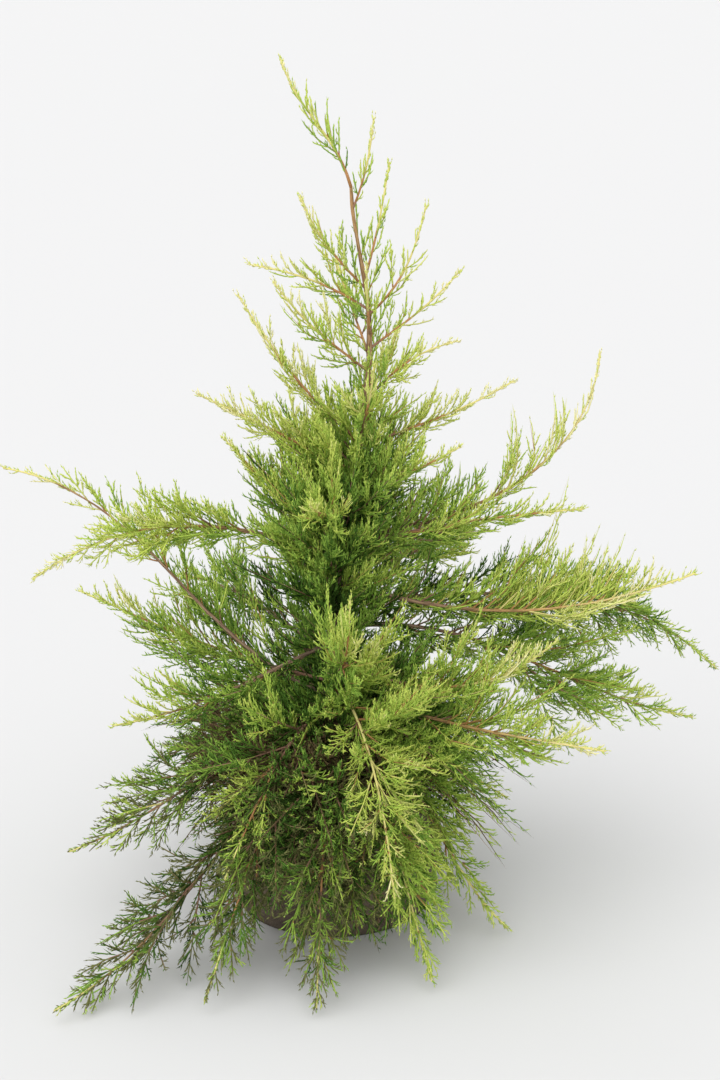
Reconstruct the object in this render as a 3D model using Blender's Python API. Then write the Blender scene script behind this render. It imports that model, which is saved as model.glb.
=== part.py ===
"""A young Chinese juniper, 1.12 m tall, standing on its hessian-wrapped root ball.

Metres, +Z up. The origin is the middle of the ball's flat underside and the plant is seen
from -Y. Headings are compass angles in plan: 0 is +X, 90 is +Y at the back, 270 the front.

The trunk is one tapering, swaying limb from the top of the ball to the foot of the leader.
Every bough and shoot follows one rule: it leaves the trunk at a height and heading, runs out
to its tip on a smooth curve, is bare wood over its first share, and foliage beyond that. A
mass of foliage is a stem with side twigs set round it in a spiral, each carrying flat toothed
sprays, all fused into one solid that keeps to the space nearest its own stem.
"""
import math
import random
from collections import namedtuple

import bmesh
import bpy
import numpy as np
from mathutils import Vector

# Root ball
BALL_HEIGHT = 0.200
BALL_RADIUS = 0.150
BALL_WIDEST_SHARE = 0.40
BALL_FOOT_ANGLE = -38
BALL_SQUARENESS = 0.55
BALL_NECK_RADIUS = 0.050
BALL_RING_ANGLES = (BALL_FOOT_ANGLE, -22, 0, 24, 46, 64, 76)
BALL_SIDES = 16

# Trunk
TRUNK_TOP = 0.965
TRUNK_FOOT_RADIUS = 0.0130
TRUNK_TOP_RADIUS = 0.0022
TRUNK_TAPER_POWER = 1.6
ROOT_FLARE = 0.010
ROOT_FLARE_HEIGHT = 0.035
FLARE_RINGS_AT = (0.0, 0.3, 0.62)
TRUNK_SWAY = 0.047
TRUNK_SWAY_FROM, TRUNK_SWAY_TO = 0.42, 0.76
TRUNK_RETURN = 0.023
TRUNK_RETURN_FROM = 0.79
TRUNK_RINGS = 13
TRUNK_SIDES = 10

# Limbs and twigs
PATH_PULL = 0.38
BOUGH_RADIUS = 0.0044
BOUGH_END_RADIUS = 0.0030
BOUGH_COLLAR = 0.0016
COLLAR_LENGTH_SHARE = 1 / 3
BOUGH_RINGS = 5
BOUGH_SIDES = 6
STEM_BASE_RADIUS = 0.0018
STEM_THICKENING = 0.004
STEM_END_RADIUS = 0.0012
STEM_STEPS = 5
TWIG_SHARE_OF_STEM = 0.75
TWIG_THINNING = (1.0, 0.8, 0.6)
TWIG_SIDES = 3
CLEARANCE = 0.0003
SEAT_LOOKS_DOWN = 1.1
START_STEP = 0.001
START_GAP = 0.0005

# Foliage
SPIRAL = math.radians(137.5)
SIDE_SPACING = 0.030
FEWEST_SIDES, MOST_SIDES = 6, 8
FORK_ANGLE = math.radians(42)
FORK_SPREAD = math.radians(9)
FIRST_SIDE, LAST_SIDE = 0.10, 0.96
TWIG_FROM_LENGTH = 0.150
TWIG_LENGTH_SHARE = 0.62
LONGEST_SIDE, SHORTEST_SIDE = 0.210, 0.062
SIDE_CHANCE = (0.85, 1.12)
SIDE_AT_ROOT = 0.55
WIDEST_AT = 0.30
SIDE_LOSS_AT_TIP = 0.80
SIDE_LOSS_POWER = 1.2
ATTEMPTS = 7
ATTEMPT_TURN = math.radians(51)
ATTEMPT_SHRINK = 0.86
TIP_SPRAY = 0.045
SPRAY_HALF_WIDTH = 0.155
LONG_SPRAY = 0.080
SPRAY_ROLL = math.radians(38)
SPRAY_THICKNESS = 0.0030
ROOT_SHARE = 0.45
TIP_SUNK = 0.003
LIMB_MARGIN = 0.0035
SPACE_MARGIN = 0.0030
FLOOR_MARGIN = 0.008
STATION_STEP, LIMB_STEP = 0.006, 0.004
FEWEST_STATIONS = 6
LINE_CHECKS = 5
SMOOTH_UNDER = math.radians(50)
SEED = 21

# Colours
BARK = (0.135, 0.060, 0.036)
HESSIAN = (0.300, 0.205, 0.120)
DEEP_GREEN = (0.045, 0.130, 0.040)
GREEN = (0.100, 0.235, 0.045)
FRESH_GREEN = (0.215, 0.380, 0.060)
GOLD_GREEN = (0.420, 0.500, 0.110)

# One row to a shoot: where it leaves the trunk, how far out and how high its tip is, the
# slopes in degrees that it leaves and ends at, the share of it that is bare bough, how wide
# its foliage spreads as a share of its length, and its colour.
Shoot = namedtuple("Shoot", "name height heading reach tip leaves ends bare spread tint")
SHOOTS = [
    Shoot("leader", TRUNK_TOP, 182, 0.086, 1.120, 75, 72, 0.0, 0.40, GOLD_GREEN),
    Shoot("top_right", 0.938, 320, 0.034, 1.049, 62, 82, 0.0, 0.42, FRESH_GREEN),
    Shoot("top_left", 0.838, 212, 0.096, 0.960, 44, 66, 0.0, 0.48, FRESH_GREEN),
    Shoot("high_back", 0.850, 62, 0.068, 0.992, 56, 70, 0.0, 0.38, GREEN),
    Shoot("high_right", 0.806, 334, 0.078, 0.946, 40, 76, 0.0, 0.38, FRESH_GREEN),
    Shoot("high_left", 0.812, 170, 0.156, 0.866, 32, 8, 0.0, 0.42, FRESH_GREEN),
    Shoot("high_front", 0.780, 268, 0.120, 0.885, 36, 56, 0.0, 0.48, FRESH_GREEN),
    Shoot("upper_right", 0.762, 14, 0.120, 0.858, 34, 48, 0.0, 0.40, FRESH_GREEN),
    Shoot("upper_left", 0.732, 207, 0.132, 0.856, 38, 54, 0.0, 0.48, FRESH_GREEN),
    Shoot("upper_back", 0.752, 108, 0.150, 0.866, 36, 44, 0.0, 0.50, GREEN),
    Shoot("middle_right", 0.693, 336, 0.126, 0.781, 50, 16, 0.0, 0.50, FRESH_GREEN),
    Shoot("middle_back", 0.668, 74, 0.180, 0.765, 36, 30, 0.0, 0.50, GREEN),
    Shoot("upper_front", 0.655, 276, 0.150, 0.770, 34, 58, 0.0, 0.50, FRESH_GREEN),
    Shoot("shoulder_right", 0.632, 2, 0.201, 0.719, 22, 32, 0.0, 0.36, FRESH_GREEN),
    Shoot("left_spire", 0.640, 178, 0.154, 0.831, 42, 60, 0.0, 0.36, FRESH_GREEN),
    Shoot("left_shoulder", 0.590, 194, 0.200, 0.713, 40, 28, 0.0, 0.48, FRESH_GREEN),
    Shoot("right_upper", 0.575, 326, 0.168, 0.655, 18, 32, 0.0, 0.50, GREEN),
    Shoot("middle_front", 0.540, 258, 0.190, 0.605, 22, 30, 0.0, 0.62, GREEN),
    Shoot("left_tier", 0.520, 159, 0.168, 0.633, 24, 46, 0.0, 0.54, GREEN),
    Shoot("back_upper", 0.520, 98, 0.290, 0.600, 26, 24, 0.0, 0.54, GREEN),
    Shoot("right_middle", 0.500, 353, 0.318, 0.560, 14, 6, 0.0, 0.40, GREEN),
    Shoot("right_arching", 0.512, 4, 0.337, 0.753, 3, 88, 0.22, 0.32, FRESH_GREEN),
    Shoot("left_long", 0.484, 197, 0.398, 0.490, 26, -34, 0.16, 0.35, FRESH_GREEN),
    Shoot("right_back", 0.425, 19, 0.581, 0.261, -4, -46, 0.24, 0.36, DEEP_GREEN),
    Shoot("right_long", 0.452, 352, 0.470, 0.482, -16, 24, 0.20, 0.42, FRESH_GREEN),
    Shoot("back_right", 0.405, 58, 0.400, 0.420, 22, -6, 0.21, 0.54, GREEN),
    Shoot("right_drooping", 0.385, 7, 0.499, 0.236, 8, -12, 0.24, 0.50, GREEN),
    Shoot("left_front", 0.368, 211, 0.322, 0.312, -14, 2, 0.24, 0.58, GREEN),
    Shoot("front_rising", 0.345, 324, 0.340, 0.436, -14, 46, 0.0, 0.48, GOLD_GREEN),
    Shoot("front_tower", 0.335, 276, 0.221, 0.499, 12, 80, 0.0, 0.52, GREEN),
    Shoot("back_left", 0.335, 128, 0.380, 0.370, 18, -8, 0.21, 0.54, DEEP_GREEN),
    Shoot("front_right", 0.302, 321, 0.426, 0.319, -4, 6, 0.24, 0.52, GOLD_GREEN),
    Shoot("left_back", 0.310, 160, 0.380, 0.398, 6, 18, 0.0, 0.50, GREEN),
    Shoot("front_drop", 0.300, 284, 0.319, 0.138, 18, -70, 0.0, 0.56, FRESH_GREEN),
    Shoot("left_rising", 0.288, 174, 0.440, 0.594, 18, 8, 0.26, 0.38, GREEN),
    Shoot("back_low", 0.275, 92, 0.350, 0.190, 8, -26, 0.0, 0.54, DEEP_GREEN),
    Shoot("front_left_drop", 0.278, 244, 0.300, 0.150, 8, -40, 0.0, 0.62, GREEN),
    Shoot("right_under", 0.272, 7, 0.240, 0.130, 6, -30, 0.0, 0.54, GREEN),
    Shoot("left_low", 0.262, 199, 0.366, 0.117, -6, -14, 0.21, 0.52, GREEN),
    Shoot("front_right_foot", 0.246, 294, 0.306, 0.016, 4, -50, 0.0, 0.62, FRESH_GREEN),
    Shoot("right_foot", 0.244, 329, 0.268, 0.016, 0, -32, 0.0, 0.54, FRESH_GREEN),
    Shoot("front_left_foot", 0.258, 245, 0.366, 0.018, 4, -44, 0.0, 0.58, DEEP_GREEN),
    Shoot("back_foot_right", 0.244, 48, 0.310, 0.060, 8, -46, 0.0, 0.56, DEEP_GREEN),
    Shoot("back_foot_left", 0.240, 138, 0.330, 0.060, 8, -42, 0.0, 0.56, DEEP_GREEN),
    Shoot("left_foot", 0.243, 227, 0.489, 0.020, -16, -4, 0.28, 0.50, DEEP_GREEN),
    Shoot("front_foot", 0.240, 267, 0.341, 0.014, 6, -54, 0.0, 0.62, DEEP_GREEN),
]

# Outline of one side of a spray, root to tip: share of its length, share of its half width.
SHORT_TEETH = [(0.36, 1.00), (0.45, 0.45), (0.74, 0.72)]
LONG_TEETH = [(0.27, 0.85), (0.34, 0.42), (0.52, 1.00), (0.58, 0.45), (0.80, 0.66)]
SPRAY_CENTRE = 0.45

# The sprays of one side twig: where each leaves it, to which side, and its share of the length.
OFFSHOOTS = [(0.92, 0, 0.52), (0.30, 1, 0.50), (0.58, -1, 0.46)]
OFFSHOOT_THICKNESS = 0.7


def smoothstep(value, low, high):
    share = min(max((value - low) / (high - low), 0.0), 1.0)
    return share * share * (3 - 2 * share)


def trunk_rings():
    """(heights, offsets to the right, radii) of the trunk's rings.

    It sways to the right, then back at the top, and its foot widens in a root flare.
    """
    foot, flare_top = BALL_HEIGHT + CLEARANCE, BALL_HEIGHT + ROOT_FLARE_HEIGHT
    heights = [foot + ROOT_FLARE_HEIGHT * share for share in FLARE_RINGS_AT]
    for k in range(TRUNK_RINGS):
        heights.append(flare_top + (TRUNK_TOP - flare_top) * k / (TRUNK_RINGS - 1))
    offsets, radii = [], []
    for height in heights:
        sway = TRUNK_SWAY * smoothstep(height, TRUNK_SWAY_FROM, TRUNK_SWAY_TO)
        back = TRUNK_RETURN * smoothstep(height, TRUNK_RETURN_FROM, TRUNK_TOP)
        offsets.append(sway - back)
        left = 1 - (height - foot) / (TRUNK_TOP - foot)
        flare = max(0.0, 1 - (height - foot) / ROOT_FLARE_HEIGHT)
        thinning = (TRUNK_FOOT_RADIUS - TRUNK_TOP_RADIUS) * left**TRUNK_TAPER_POWER
        radii.append(TRUNK_TOP_RADIUS + thinning + ROOT_FLARE * flare * flare)
    return heights, offsets, radii


def trunk_axis(height):
    heights, offsets, _ = trunk_rings()
    return Vector((float(np.interp(height, heights, offsets)), 0.0, height))


def trunk_radius(height):
    heights, _, radii = trunk_rings()
    return float(np.interp(height, heights, radii))


def ball_profile():
    """Points (radius, height) of the ball's side, from its foot up to the flat at its neck."""
    widest_at = BALL_HEIGHT * BALL_WIDEST_SHARE
    points = []
    for angle in BALL_RING_ANGLES:
        radius = BALL_RADIUS * math.cos(math.radians(angle)) ** BALL_SQUARENESS
        up = math.sin(math.radians(angle))
        if angle < 0:
            height = widest_at * (1 - up / math.sin(math.radians(BALL_FOOT_ANGLE)))
        else:
            height = widest_at + (BALL_HEIGHT - widest_at) * up
        points.append((radius, height))
    points.append((BALL_NECK_RADIUS, BALL_HEIGHT))
    return points


def ball_reach(height):
    """The ball's radius at a height, for keeping foliage off it."""
    radii, heights = zip(*ball_profile())
    return float(np.interp(height, heights, radii)) if height <= BALL_HEIGHT else 0.0


def slope(heading, elevation):
    heading, elevation = math.radians(heading), math.radians(elevation)
    flat = math.cos(elevation)
    return Vector((flat * math.cos(heading), flat * math.sin(heading), math.sin(elevation)))


class Path:
    """The smooth curve that a shoot follows from the trunk's axis to its tip."""

    def __init__(self, shoot):
        root = trunk_axis(shoot.height)
        out = slope(shoot.heading, 0)
        tip = root + out * shoot.reach + Vector((0, 0, shoot.tip - shoot.height))
        pull = (tip - root).length * PATH_PULL
        self.points = (
            root,
            root + slope(shoot.heading, shoot.leaves) * pull,
            tip - slope(shoot.heading, shoot.ends) * pull,
            tip,
        )
        self.length = (tip - root).length

    def at(self, t):
        a, b, c, d = self.points
        s = 1 - t
        return a * s**3 + b * 3 * s * s * t + c * 3 * s * t * t + d * t**3

    def towards(self, t):
        a, b, c, d = self.points
        s = 1 - t
        return ((b - a) * s * s + (c - b) * 2 * s * t + (d - c) * t * t).normalized()


def crosswise(along, near):
    """A unit vector square to a direction, as near as may be to another one."""
    side = near - along * near.dot(along)
    if side.length < 1e-4:
        side = along.orthogonal()
    return side.normalized()


def slide_to_plane(points, along, point, normal):
    """Moves a ring along its limb until it lies in a plane."""
    return [p + along * ((point - p).dot(normal) / along.dot(normal)) for p in points]


def tube(name, centres, radii, sides, start_plane=None):
    """A closed tapering limb through its centres, whose first ring may lie in a slanting plane."""
    count = len(centres)
    ways = []
    for i in range(count):
        before, after = centres[max(i - 1, 0)], centres[min(i + 1, count - 1)]
        ways.append((after - before).normalized())
    side = crosswise(ways[0], Vector((0.13, 0.21, 1.0)))
    rings = []
    mesh = bmesh.new()
    for i, (centre, radius, along) in enumerate(zip(centres, radii, ways)):
        side = crosswise(along, side)
        other = along.cross(side)
        ring = []
        for k in range(sides):
            turn = 2 * math.pi * k / sides
            ring.append(centre + (side * math.cos(turn) + other * math.sin(turn)) * radius)
        if i == 0 and start_plane:
            ring = slide_to_plane(ring, along, *start_plane)
        rings.append([mesh.verts.new(p) for p in ring])
    mesh.faces.new(reversed(rings[0]))
    for low, high in zip(rings, rings[1:]):
        for k in range(sides):
            after = (k + 1) % sides
            mesh.faces.new((low[k], low[after], high[after], high[k]))
    mesh.faces.new(rings[-1])
    return finished(name, mesh)


def spray_points(root, along, across, length):
    """The outline of a toothed spray, then the middle of its upper and its under side."""
    normal = along.cross(across).normalized()
    half_width = length * SPRAY_HALF_WIDTH
    teeth = LONG_TEETH if length > LONG_SPRAY else SHORT_TEETH
    left = [root + along * length * share + across * half_width * out for share, out in teeth]
    right = [root + along * length * share - across * half_width * out for share, out in teeth]
    outline = [root, *left, root + along * length, *reversed(right)]
    middle = root + along * length * SPRAY_CENTRE
    return outline, middle + normal * SPRAY_THICKNESS / 2, middle - normal * SPRAY_THICKNESS / 2


def spray(name, root, along, across, length):
    outline, upper, under = spray_points(root, along, across, length)
    mesh = bmesh.new()
    rim = [mesh.verts.new(p) for p in outline]
    upper, under = mesh.verts.new(upper), mesh.verts.new(under)
    for k, point in enumerate(rim):
        after = rim[(k + 1) % len(rim)]
        mesh.faces.new((after, point, upper))
        mesh.faces.new((point, after, under))
    return finished(name, mesh)


def finished(name, mesh):
    """Turns a bmesh into an object of the scene, its faces pointing out."""
    bmesh.ops.recalc_face_normals(mesh, faces=mesh.faces)
    data = bpy.data.meshes.new(name)
    mesh.to_mesh(data)
    mesh.free()
    piece = bpy.data.objects.new(name, data)
    bpy.context.scene.collection.objects.link(piece)
    return piece


def start_on_trunk(shoot, path, limb_radius):
    """Where a shoot clears the trunk: the share of its path, and the plane of its first ring."""
    axis = trunk_axis(shoot.height)
    rise = (trunk_axis(shoot.height + 0.01) - trunk_axis(shoot.height - 0.01)).normalized()
    normal = crosswise(rise, slope(shoot.heading, 0))
    widest = trunk_radius(max(shoot.height - limb_radius * SEAT_LOOKS_DOWN, BALL_HEIGHT))
    plane = axis + normal * (widest + CLEARANCE)
    t = 0.0
    while (path.at(t) - plane).dot(normal) < START_GAP:
        t += START_STEP
    return t, (plane, normal)


class Space:
    """Tells whether points lie in the space that belongs to one mass, clear of all limbs."""

    def __init__(self, paths, bare_from, limbs):
        stations, owners = [], []
        for owner, (path, bare) in enumerate(zip(paths, bare_from)):
            steps = max(FEWEST_STATIONS, int(path.length * (1 - bare) / STATION_STEP))
            for k in range(steps + 1):
                stations.append(path.at(bare + (1 - bare) * k / steps))
                owners.append(owner)
        self.stations = np.array(stations)
        self.owners = np.array(owners)
        self.limb_points = np.array([p for p, _ in limbs])
        self.limb_radii = np.array([r for _, r in limbs])

    def holds(self, points, owner):
        points = np.array(points)
        if points[:, 2].min() < FLOOR_MARGIN:
            return False
        for x, y, z in points:
            if z < BALL_HEIGHT + LIMB_MARGIN and math.hypot(x, y) < ball_reach(z) + LIMB_MARGIN:
                return False
        to_limbs = np.linalg.norm(points[:, None] - self.limb_points[None], axis=2) - self.limb_radii
        if to_limbs.min() < LIMB_MARGIN:
            return False
        to_stems = np.linalg.norm(points[:, None] - self.stations[None], axis=2)
        own = to_stems[:, self.owners == owner].min(axis=1)
        others = to_stems[:, self.owners != owner].min(axis=1)
        return bool((own + SPACE_MARGIN < others).all())


def limb_stations(shoots, paths):
    """Points down the trunk and the bare boughs, each with the limb's radius there."""
    limbs = []
    height = BALL_HEIGHT
    while height <= TRUNK_TOP:
        limbs.append((trunk_axis(height), trunk_radius(height)))
        height += LIMB_STEP
    for shoot, path in zip(shoots, paths):
        steps = int(path.length * shoot.bare / LIMB_STEP)
        for k in range(steps + 1):
            limbs.append((path.at(shoot.bare * k / max(steps, 1)), BOUGH_RADIUS))
    return limbs


def along_line(start, end, steps):
    return [start.lerp(end, k / steps) for k in range(steps + 1)]


def grow_side(label, root, along, across, length, radius, owner, space):
    """One side shoot: a lone spray, or a twig with a spray at its end and one to each side."""
    sunk = radius * ROOT_SHARE
    if length < TWIG_FROM_LENGTH:
        outline, *_ = spray_points(root, along, across, length)
        clear_of_stem = root + along * (radius + LIMB_MARGIN)
        midrib = along_line(clear_of_stem, root + along * length, LINE_CHECKS)
        if not space.holds(outline[1:] + midrib, owner):
            return []
        return [spray(label, root - along * sunk, along, across, length + sunk)]
    twig_length = length * TWIG_LENGTH_SHARE
    if not space.holds(along_line(root, root + along * twig_length, LINE_CHECKS)[1:], owner):
        return []
    twig_radius = radius * TWIG_SHARE_OF_STEM
    centres = along_line(root, root + along * twig_length, len(TWIG_THINNING) - 1)
    pieces = [tube(label, centres, [twig_radius * share for share in TWIG_THINNING], TWIG_SIDES)]
    for number, (share, turn, size) in enumerate(OFFSHOOTS):
        start = root + along * twig_length * share
        way = (along + across * turn * math.tan(FORK_ANGLE)).normalized()
        flat = crosswise(way, along if turn else across)
        outline, *_ = spray_points(start, way, flat, size * length)
        if space.holds(outline[1:], owner):
            sunk = twig_radius * OFFSHOOT_THICKNESS * ROOT_SHARE
            sunk_root = start - way * sunk
            pieces.append(spray(f"{label}_{number}", sunk_root, way, flat, size * length + sunk))
    return pieces


def side_length(shoot, length, t):
    """How long a side shoot is at a share of the stem: longest low down, short at the tip."""
    rise = SIDE_AT_ROOT + (1 - SIDE_AT_ROOT) * min(t / WIDEST_AT, 1.0)
    beyond = max(0.0, (t - WIDEST_AT) / (1 - WIDEST_AT))
    fall = 1 - SIDE_LOSS_AT_TIP * beyond**SIDE_LOSS_POWER
    return min(max(shoot.spread * length * rise * fall, SHORTEST_SIDE), LONGEST_SIDE)


def grow_mass(shoot, path, owner, space, chance):
    """The pieces of one mass: its stem, the side shoots in a spiral and the spray at its tip."""
    length = path.length * (1 - shoot.bare)
    if shoot.bare:
        base_radius = BOUGH_END_RADIUS
        start = shoot.bare
        towards = path.towards(start)
        plane = (path.at(start) + towards * CLEARANCE, towards)
    elif shoot.name == "leader":
        base_radius = TRUNK_TOP_RADIUS
        start = 0.0
        plane = (path.at(start) + Vector((0, 0, CLEARANCE)), Vector((0, 0, 1)))
    else:
        base_radius = STEM_BASE_RADIUS + STEM_THICKENING * length
        start, plane = start_on_trunk(shoot, path, base_radius)
    end = 1 - TIP_SPRAY / path.length

    def share(s):
        return start + (end - start) * s

    def radius(s):
        return base_radius + (STEM_END_RADIUS - base_radius) * s

    def on_stem(s):
        low = min(int(s * STEM_STEPS), STEM_STEPS - 1)
        return centres[low].lerp(centres[low + 1], s * STEM_STEPS - low)

    steps = [k / STEM_STEPS for k in range(STEM_STEPS + 1)]
    centres = [path.at(share(s)) for s in steps]
    stem = tube(shoot.name, centres, [radius(s) for s in steps], TWIG_SIDES, plane)
    pieces = []
    tip_way = (path.at(1.0) - centres[-1]).normalized()
    tip_root = centres[-1] - tip_way * TIP_SUNK
    tip_flat = crosswise(tip_way, slope(shoot.heading + 90, 0))
    pieces.append(spray("tip", tip_root, tip_way, tip_flat, (path.at(1.0) - tip_root).length))
    count = min(max(round(length / SIDE_SPACING), FEWEST_SIDES), MOST_SIDES)
    turn = chance.uniform(0, 2 * math.pi)
    for k in range(count):
        s = FIRST_SIDE + (LAST_SIDE - FIRST_SIDE) * (k + 0.5) / count
        root = on_stem(s)
        onward = path.towards(share(s))
        size = side_length(shoot, length, s) * chance.uniform(*SIDE_CHANCE)
        side = crosswise(onward, Vector((0, 0, 1)))
        other = onward.cross(side)
        for attempt in range(ATTEMPTS):
            spin = turn + SPIRAL * k + ATTEMPT_TURN * attempt
            outward = side * math.cos(spin) + other * math.sin(spin)
            fork = FORK_ANGLE + chance.uniform(-FORK_SPREAD, FORK_SPREAD)
            along = (onward * math.cos(fork) + outward * math.sin(fork)).normalized()
            roll = chance.uniform(-SPRAY_ROLL, SPRAY_ROLL)
            across = crosswise(along, outward)
            across = across * math.cos(roll) + along.cross(across) * math.sin(roll)
            label = f"{shoot.name}_{k}"
            grown = grow_side(label, root, along, across, size, radius(s), owner, space)
            if grown:
                pieces += grown
                break
            size = max(size * ATTEMPT_SHRINK, SHORTEST_SIDE)
    return stem, pieces


def fuse(stem, pieces):
    """Joins a mass's pieces to its stem in one union, and removes them."""
    group = bpy.data.collections.new("pieces")
    bpy.context.scene.collection.children.link(group)
    for piece in pieces:
        bpy.context.scene.collection.objects.unlink(piece)
        group.objects.link(piece)
    union = stem.modifiers.new("union", "BOOLEAN")
    union.operation = "UNION"
    union.operand_type = "COLLECTION"
    union.collection = group
    union.solver = "MANIFOLD"
    bpy.context.view_layer.objects.active = stem
    bpy.ops.object.modifier_apply(modifier=union.name)
    for piece in pieces:
        data = piece.data
        bpy.data.objects.remove(piece)
        bpy.data.meshes.remove(data)
    bpy.data.collections.remove(group)


def keep_whole(stem):
    """Drops the scraps and sealed hollows that the union left."""
    mesh = bmesh.new()
    mesh.from_mesh(stem.data)
    left = set(mesh.verts)
    groups = []
    while left:
        group, border = set(), [left.pop()]
        while border:
            vert = border.pop()
            group.add(vert)
            for edge in vert.link_edges:
                other = edge.other_vert(vert)
                if other in left:
                    left.remove(other)
                    border.append(other)
        groups.append(group)
    groups.sort(key=len)
    for group in groups[:-1]:
        print(stem.name, "drops a scrap of", len(group), "points")
        bmesh.ops.delete(mesh, geom=list(group), context="VERTS")
    mesh.to_mesh(stem.data)
    mesh.free()


def material(name, colour, roughness):
    made = bpy.data.materials.get(name)
    if made is None:
        made = bpy.data.materials.new(name)
        made.use_nodes = True
        shader = made.node_tree.nodes["Principled BSDF"]
        shader.inputs["Base Color"].default_value = (*colour, 1.0)
        shader.inputs["Roughness"].default_value = roughness
        shader.inputs["Metallic"].default_value = 0.0
    return made


def give(piece, name, colour, roughness):
    piece.data.materials.clear()
    piece.data.materials.append(material(name, colour, roughness))


def root_ball():
    """The wrapped ball of soil, turned about the vertical from its profile."""
    mesh = bmesh.new()
    rings = []
    for radius, height in ball_profile():
        ring = []
        for k in range(BALL_SIDES):
            turn = 2 * math.pi * k / BALL_SIDES
            ring.append(mesh.verts.new((radius * math.cos(turn), radius * math.sin(turn), height)))
        rings.append(ring)
    mesh.faces.new(reversed(rings[0]))
    for low, high in zip(rings, rings[1:]):
        for k in range(BALL_SIDES):
            after = (k + 1) % BALL_SIDES
            mesh.faces.new((low[k], low[after], high[after], high[k]))
    mesh.faces.new(rings[-1])
    ball = finished("root_ball", mesh)
    ball.data.shade_smooth()
    ball.data.set_sharp_from_angle(angle=SMOOTH_UNDER)
    give(ball, "hessian", HESSIAN, 0.95)


def trunk():
    heights, offsets, radii = trunk_rings()
    centres = [Vector((offset, 0, height)) for offset, height in zip(offsets, heights)]
    foot_plane = (centres[0], Vector((0, 0, 1)))
    stem = tube("trunk", centres, radii, TRUNK_SIDES, foot_plane)
    stem.data.shade_smooth()
    stem.data.set_sharp_from_angle(angle=SMOOTH_UNDER)
    give(stem, "trunk_bark", BARK, 0.85)


def bough(shoot, path):
    """The bare stretch of a shoot, from the trunk to where its foliage begins."""
    start, plane = start_on_trunk(shoot, path, BOUGH_RADIUS + BOUGH_COLLAR)
    centres, radii = [], []
    for k in range(BOUGH_RINGS):
        s = k / (BOUGH_RINGS - 1)
        centres.append(path.at(start + (shoot.bare - start) * s))
        collar = BOUGH_COLLAR * max(0.0, 1 - s / COLLAR_LENGTH_SHARE) ** 2
        radii.append(BOUGH_RADIUS + (BOUGH_END_RADIUS - BOUGH_RADIUS) * s + collar)
    limb = tube(f"bough_{shoot.name}", centres, radii, BOUGH_SIDES, plane)
    limb.data.shade_smooth()
    limb.data.set_sharp_from_angle(angle=SMOOTH_UNDER)
    give(limb, "bough_bark", BARK, 0.85)


def foliage(shoot, path, owner, space):
    chance = random.Random(f"{SEED} {shoot.name}")
    stem, pieces = grow_mass(shoot, path, owner, space, chance)
    fuse(stem, pieces)
    keep_whole(stem)
    stem.name = stem.data.name = f"foliage_{shoot.name}"
    tints = {DEEP_GREEN: "deep", GREEN: "green", FRESH_GREEN: "fresh", GOLD_GREEN: "golden"}
    give(stem, f"foliage_{tints[shoot.tint]}", shoot.tint, 0.7)


def main():
    for old in list(bpy.data.objects):
        bpy.data.objects.remove(old)
    paths = [Path(shoot) for shoot in SHOOTS]
    root_ball()
    trunk()
    for shoot, path in zip(SHOOTS, paths):
        if shoot.bare:
            bough(shoot, path)
    space = Space(paths, [shoot.bare for shoot in SHOOTS], limb_stations(SHOOTS, paths))
    for owner, (shoot, path) in enumerate(zip(SHOOTS, paths)):
        foliage(shoot, path, owner, space)


main()
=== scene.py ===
# %% [markdown]
# # A young Chinese juniper on its root ball
# This lesson dresses a plain model of a juniper, 1.12 m tall, until it looks alive. The model
# has a wrapped root ball, a trunk, twelve woody boughs and forty-six simple masses of foliage.
# It could be painted as it is, but a juniper is all fine cords, so everything is grown anew in
# the same places: bark with relief, and over a hundred thousand twiglets by one branching rule.

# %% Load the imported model
import math
from collections import namedtuple

import bpy
import numpy as np
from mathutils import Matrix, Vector


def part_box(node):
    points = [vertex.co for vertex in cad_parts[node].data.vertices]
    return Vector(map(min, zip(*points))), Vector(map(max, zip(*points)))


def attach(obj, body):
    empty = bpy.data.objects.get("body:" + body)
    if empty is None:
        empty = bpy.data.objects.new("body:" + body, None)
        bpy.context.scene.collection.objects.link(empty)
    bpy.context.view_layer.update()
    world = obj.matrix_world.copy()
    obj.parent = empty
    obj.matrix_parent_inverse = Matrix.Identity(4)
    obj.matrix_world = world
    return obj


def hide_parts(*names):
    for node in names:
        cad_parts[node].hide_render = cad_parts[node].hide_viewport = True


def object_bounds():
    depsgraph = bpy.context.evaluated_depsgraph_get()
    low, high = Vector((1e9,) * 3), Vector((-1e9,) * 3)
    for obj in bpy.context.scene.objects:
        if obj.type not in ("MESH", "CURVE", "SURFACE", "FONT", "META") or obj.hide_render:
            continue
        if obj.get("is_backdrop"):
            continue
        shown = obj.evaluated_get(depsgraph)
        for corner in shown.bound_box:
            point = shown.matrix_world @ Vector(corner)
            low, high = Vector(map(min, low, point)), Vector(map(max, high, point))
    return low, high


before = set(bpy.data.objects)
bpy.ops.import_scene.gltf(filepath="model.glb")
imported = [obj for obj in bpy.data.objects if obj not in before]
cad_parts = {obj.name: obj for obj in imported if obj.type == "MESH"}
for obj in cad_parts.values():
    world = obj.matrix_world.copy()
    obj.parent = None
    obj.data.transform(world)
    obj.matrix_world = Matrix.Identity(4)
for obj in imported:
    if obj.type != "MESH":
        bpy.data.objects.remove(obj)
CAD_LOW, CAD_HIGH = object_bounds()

SEED = 21
chance = np.random.default_rng(SEED)
print("the plain model spans", [round(high - low, 3) for low, high in zip(CAD_LOW, CAD_HIGH)])

# %% [markdown]
# ## Camera, light and floor
# The plant was seen from a little above its own height, from two and a half metres away. The
# light of a bright room with white walls could be rebuilt with many lamps. A white world colour
# does the same work with less, and one very soft sun from above adds the shade under the plant.

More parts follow.
